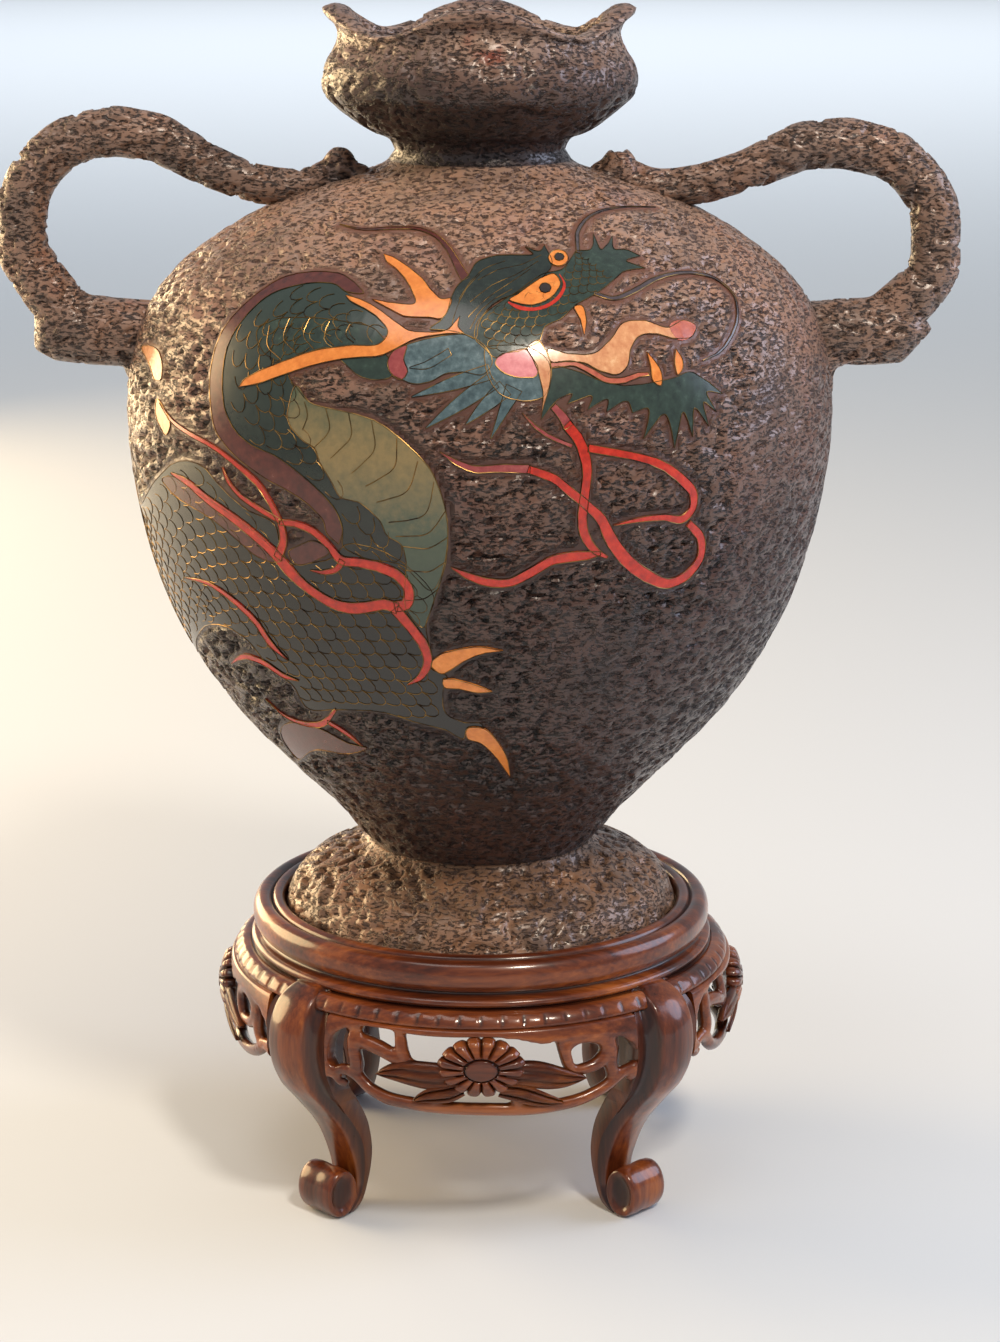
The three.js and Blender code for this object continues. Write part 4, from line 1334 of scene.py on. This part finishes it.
def leg_section(out, back, rib, wing, step):
    """A point of half a section, counted from the rib's crown to the middle of the back.

    It is a radius, a distance across and how hollow the place is, which sets how dark it is painted: painted
    shade in the cove and on the back.
    """
    deep = min(6.4, 0.55 * (out - back))
    points = [
        (out, 0, 0), (out - 0.35, 0.42 * rib, 0), (out - 1.1, 0.76 * rib, 0.05), (out - 1.25, 0.9 * rib, 0),
        (out - 1.7, rib, 0), (out - 2.7, rib + 0.25, 0.5), (out - deep + 0.5, rib + 0.6, 0.85),
        (out - deep - 0.3, 0.7 * rib + 0.3 * wing + 0.6, 0.7),
        (out - deep - 0.25, 0.35 * rib + 0.65 * wing, 0.45), (out - deep, wing, 0.3),
        (back + 0.6, wing, 0.5), (back, 0.9 * wing, 0.5), (back, 0, 0.5),
    ]
    return points[step]


leg_lines = smooth_line(LEG_ROWS, ROW_SPACING)
turn_count = 2 * HALF_SECTION - 2
leg_bm = bmesh.new()
bmesh.ops.create_grid(leg_bm, x_segments=turn_count, y_segments=len(leg_lines) - 1, size=0.5)
hollow_shade_of = leg_bm.verts.layers.float.new("hollow")
for vert in leg_bm.verts:
    height, out, back, rib, wing = leg_lines[round((vert.co.y + 0.5) * (len(leg_lines) - 1))]
    spoke = round((vert.co.x + 0.5) * turn_count) % turn_count
    radius, across, hollow = leg_section(out, back, rib, wing, min(spoke, turn_count - spoke))
    vert.co = Vector((radius, across if spoke < HALF_SECTION else -across, height)) * MM
    # Painted shade: the cove and the back of the leg are painted darker.
    vert[hollow_shade_of] = hollow
bmesh.ops.remove_doubles(leg_bm, verts=leg_bm.verts[:], dist=1e-7)
bmesh.ops.holes_fill(leg_bm, edges=[edge for edge in leg_bm.edges if edge.is_boundary], sides=0)
bmesh.ops.triangulate(leg_bm, faces=[face for face in leg_bm.faces if len(face.verts) > 4])
bmesh.ops.recalc_face_normals(leg_bm, faces=leg_bm.faces[:])

toe_line = smooth_line(SCROLL_LINE, 0.12)
toe_line += [Vector((point.x, -point.y)) for point in toe_line[-2::-1]]
toe_bm = turned(toe_line[::-1], SCROLL_COLUMNS)
hollow_shade_of = toe_bm.verts.layers.float.new("hollow")
for vert in toe_bm.verts:
    # Painted shade: the dished ends of the scroll are painted dark.
    vert[hollow_shade_of] = 0.8 * (1 - ease(vert.co.xy.length, 0.5, 0.86)) * (abs(vert.co.z) > 0.7)
    side, along_x, along_z = vert.co.z * TOE_HALF_WIDTH, vert.co.x * TOE_RADII[0], vert.co.y * TOE_RADII[1]
    vert.co = Vector((TOE_CENTRE[0] + along_x, side, TOE_CENTRE[1] + along_z)) * MM
bmesh.ops.recalc_face_normals(toe_bm, faces=toe_bm.faces[:])
leg_meshes = [mesh_of(leg_bm), mesh_of(toe_bm)]


def set_round(meshes, degrees, name, paint, replaced):
    """Adds a piece of the stand, made of some meshes, turned round the vase's axis by an angle."""
    bm = bmesh.new()
    for mesh in meshes:
        bm.from_mesh(mesh)
    turn = Matrix.Rotation(math.radians(degrees), 3, "Z")
    bmesh.ops.rotate(bm, verts=bm.verts[:], cent=(0, 0, 0), matrix=turn)
    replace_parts(add_piece(name, mesh_of(bm), paint), replaced)


CORNERS = {"front_left": -135, "front_right": -45, "back_right": 45, "back_left": 135}
for corner, degrees in CORNERS.items():
    set_round(leg_meshes, degrees, "stand_scroll_leg_" + corner, wood_upright, "stand_leg_" + corner)

# %% [markdown]
# ## Aprons
# An apron is carved and pierced: a frame under the board, a rail that ends in two scrolls, a few strands
# between them, and in the middle a many-petalled flower with ribbed leaves. It is drawn flat, as the
# carver drew it on the board, with one axis round the stand, one up and one outwards. Frame, rail and
# strands grow into one skin. Then flower and leaves are laid in, and all of it is bent round.

# %% Carving tools
APRON_RADIUS = 88
APRON_OUTSIDE = [(46, 85.2), (52, 86.6), (63, 88), (72, 87.4), (77.6, 86)]
APRON_DEPTH = 5.5
APRON_VOXEL = 0.74
STRAND_SPACING = 1.2
RAIL_OUT = 2.2
STRANDS_OUT = 2.6


def arc(x):
    """The way round the stand, in mm, to a place that is x mm to the right of the middle."""
    return APRON_RADIUS * math.asin(x / APRON_RADIUS)


def slab(outline, low, high):
    """A flat plate between two depths, from an outline of (x, z) points in mm."""
    bm = sheet([(arc(x), low, z) for x, z in outline])
    thicken(bm, (0, high - low, 0))
    return mesh_of(bm)


def strand(points, depth):
    """A strand along (x, z, radius) points in mm, as a line for a tube, at a depth behind the surface."""
    return smooth_line([(arc(x), depth, z, radius) for x, z, radius in points], STRAND_SPACING), False


# %% Frame, rail and strands
WINDOW = [
    (-47.5, 57.5), (-50.3, 61.5), (-50.2, 67), (-48.2, 72), (-44, 74.6), (-38, 76), (-28, 75.8), (-22, 75.1),
    (-10, 74.9), (0, 75.2), (12, 74.2), (20, 72.4), (27, 73), (35, 73.4), (43, 72.2), (48.5, 69.2),
    (51.3, 65), (51, 60.5), (48.5, 57),
]
RAIL = [
    (-45.3, 55.6, 1.3), (-46.6, 54.2, 1.5), (-48.6, 55.3, 1.7), (-48.4, 58.2, 1.9), (-45.4, 59.7, 2.1),
    (-41.5, 58.2, 2.2), (-38, 54.8, 2.3), (-33, 52.2, 2.5), (-22, 50.7, 2.5), (0, 49.9, 2.5),
    (24.6, 49.7, 2.5), (35, 51.2, 2.4), (43, 54.7, 2.3), (48, 58.3, 2.2), (51, 58.7, 1.9), (52.2, 56.7, 1.7),
    (50.9, 55, 1.4), (49.5, 55.9, 1.2),
]
STRANDS = [
    [(-44, 67.8, 1.7), (-41.5, 70.3, 2.3), (-37, 69.9, 2.6), (-31, 67.8, 2.6), (-26, 65.2, 2.3),
     (-20, 63.8, 2.1)],
    [(-41.2, 76, 2.1), (-42.8, 71, 2.5), (-42.3, 66, 2.6), (-41.6, 61.5, 2.6), (-42.4, 58.5, 2.3)],
    [(-27.5, 76.4, 2), (-27, 72.5, 2.3), (-26, 68.5, 2.3), (-24.5, 65, 2.1)],
    [(26, 73.4, 1.8), (27.5, 69.3, 2.3), (28.5, 65.5, 2.3), (29.5, 62.5, 2.1)],
    [(27.5, 69.6, 2), (32, 72.4, 2.3), (37, 72.4, 2.5), (41.3, 70, 2.6), (41.9, 66.5, 2.6), (39.5, 63.3, 2.5),
     (35, 61.8, 2.2), (29.5, 61.6, 2)],
    [(42.3, 72.4, 2.1), (43.8, 67, 2.3), (43.3, 62.5, 2.5), (44.3, 57.8, 2.3)],
    [(-12, 57.5, 2.1), (-14.5, 54.5, 2.2), (-16, 51.5, 2.3)], [(10.5, 57, 2.1), (12, 54, 2.2), (12.5, 51, 2.3)],
]
frame_outline = [(-57, 53), (-57, 77.4), (57, 77.4), (57, 53), *smooth_line(WINDOW, 1.5)[::-1]]
carving = bmesh.new()
carving.from_mesh(slab(frame_outline, 0, APRON_DEPTH))
carving.from_mesh(tubes([strand(RAIL, RAIL_OUT)], 1, sides=8))
carving.from_mesh(tubes([strand(points, STRANDS_OUT) for points in STRANDS], 1, sides=8))
skin = one_skin(mesh_of(carving), APRON_VOXEL)
print("apron's frame and strands", len(skin.faces), "faces")

# %% Flower and leaves
FLOWER_LINE = [
    (0, 3.2), (0.29, 3.2), (0.34, 2.8), (0.37, 1.8), (0.5, 2.9), (0.75, 2.5), (0.95, 1.2), (1, 0.3),
]
FLOWER_COLUMNS = 160
PETALS = 16


def flower_bm():
    """A low dome of sixteen petals round a flat boss, in mm, facing -Y in the flat drawing's own frame."""
    bm = turned(smooth_line(FLOWER_LINE, 0.09) + [Vector((0.97, -2.4)), Vector((0, -2.4))], FLOWER_COLUMNS)
    hollow_shade_of = bm.verts.layers.float.new("hollow")
    for vert in bm.verts:
        reach = vert.co.xy.length
        turn = math.atan2(vert.co.y, vert.co.x)
        petal = abs(math.sin(0.5 * PETALS * turn))
        on_petal = ease(reach, 0.36, 0.5) * (vert.co.z > -1)
        # Painted shade: the dips between the petals and the groove round the boss are painted dark.
        vert[hollow_shade_of] = max(0.9 * on_petal * (1 - petal) ** 2, 1 - abs(reach - 0.37) / 0.06)
        vert.co.z -= 1.9 * on_petal * (1 - petal) ** 2 - 0.35 * on_petal * math.sin(3 * turn)
        shrink = 1 - 0.1 * ease(reach, 0.7, 1) * (1 - petal) ** 2
        vert.co = Vector((14.4 * vert.co.x * shrink, -vert.co.z, 65.5 + 9.9 * vert.co.y * shrink))
    bmesh.ops.recalc_face_normals(bm, faces=bm.faces[:])
    return bm


def leaf_bm(base, tip, half_width, ribs, lift):
    """A pointed leaf between two (x, z) places, with grooves between its ribs."""
    bm = bmesh.new()
    bmesh.ops.create_grid(bm, x_segments=22, y_segments=16, size=0.5)
    sunk = set(other_side(bm))
    hollow_shade_of = bm.verts.layers.float.new("hollow")
    start, end = Vector((arc(base[0]), base[1])), Vector((arc(tip[0]), tip[1]))
    aside = Vector((start.y - end.y, end.x - start.x)).normalized()
    for vert in bm.verts:
        along, across = vert.co.x + 0.5, 2 * vert.co.y
        width = half_width * (math.sin(math.pi * (0.22 + 0.78 * along)) ** 0.7 + 0.03)
        middle = start.lerp(end, along) + aside * (0.12 * half_width * math.sin(2 * math.pi * along))
        place = middle + aside * across * width
        rib = abs(math.cos(0.5 * math.pi * ribs * across))
        high = lift + 1.3 * (1 - across * across) - 1.1 * (1 - rib) ** 2 - 0.6 * along
        # Painted shade: the grooves between the ribs are painted dark.
        vert[hollow_shade_of] = 0.9 * (1 - rib) ** 2
        vert.co = Vector((place.x, 3.2 if vert in sunk else -high, place.y))
    bmesh.ops.recalc_face_normals(bm, faces=bm.faces[:])
    return bm


LEAVES = [
    ((-8, 63), (-34, 61.2), 4.8, 3, 0.4), ((-6, 58.5), (-22.5, 52.8), 3.1, 2, 0.7),
    ((8, 63), (34, 59.6), 4.7, 3, 0.4), ((6, 58), (27, 51.8), 3.2, 2, 0.7),
]
hollow_shade_of = skin.verts.layers.float.new("hollow")
skin.from_mesh(mesh_of(flower_bm()))
for leaf in LEAVES:
    skin.from_mesh(mesh_of(leaf_bm(*leaf)))

# %% Bending and placing the aprons
hollow_shade_of = skin.verts.layers.float["hollow"]
print("deepest hollow on flower and leaves", round(max(vert[hollow_shade_of] for vert in skin.verts), 2))
outside = smooth_line(APRON_OUTSIDE, 1)
outside_heights = [point.x for point in outside]
CORNER_GAP = 14.3 * MM
for vert in skin.verts:
    surface = part_way(outside, vert.co.z, outside_heights).y
    # Painted shade: the carving is painted darker the further it lies behind the front face.
    vert[hollow_shade_of] = max(vert[hollow_shade_of], 0.85 * ease(vert.co.y, 0.6, 3.6))
    vert.co = round_point(surface - vert.co.y, vert.co.x / APRON_RADIUS, vert.co.z) * MM
for side in (-1, 1):
    normal = Vector((side, 1, 0)).normalized()
    cut = bmesh.ops.bisect_plane(
        skin, geom=everything(skin), dist=1e-7, plane_co=-CORNER_GAP * normal, plane_no=normal,
        clear_outer=True)
    rim = [item for item in cut["geom_cut"] if isinstance(item, bmesh.types.BMEdge)]
    bmesh.ops.holes_fill(skin, edges=rim, sides=0)
bmesh.ops.recalc_face_normals(skin, faces=skin.faces[:])
apron_mesh = mesh_of(skin)
for k, side in enumerate(("front", "right", "back", "left")):
    paint = wood_deep if k % 2 else wood_across
    set_round([apron_mesh], 90 * k, "stand_carved_apron_" + side, paint, "stand_apron_" + side)
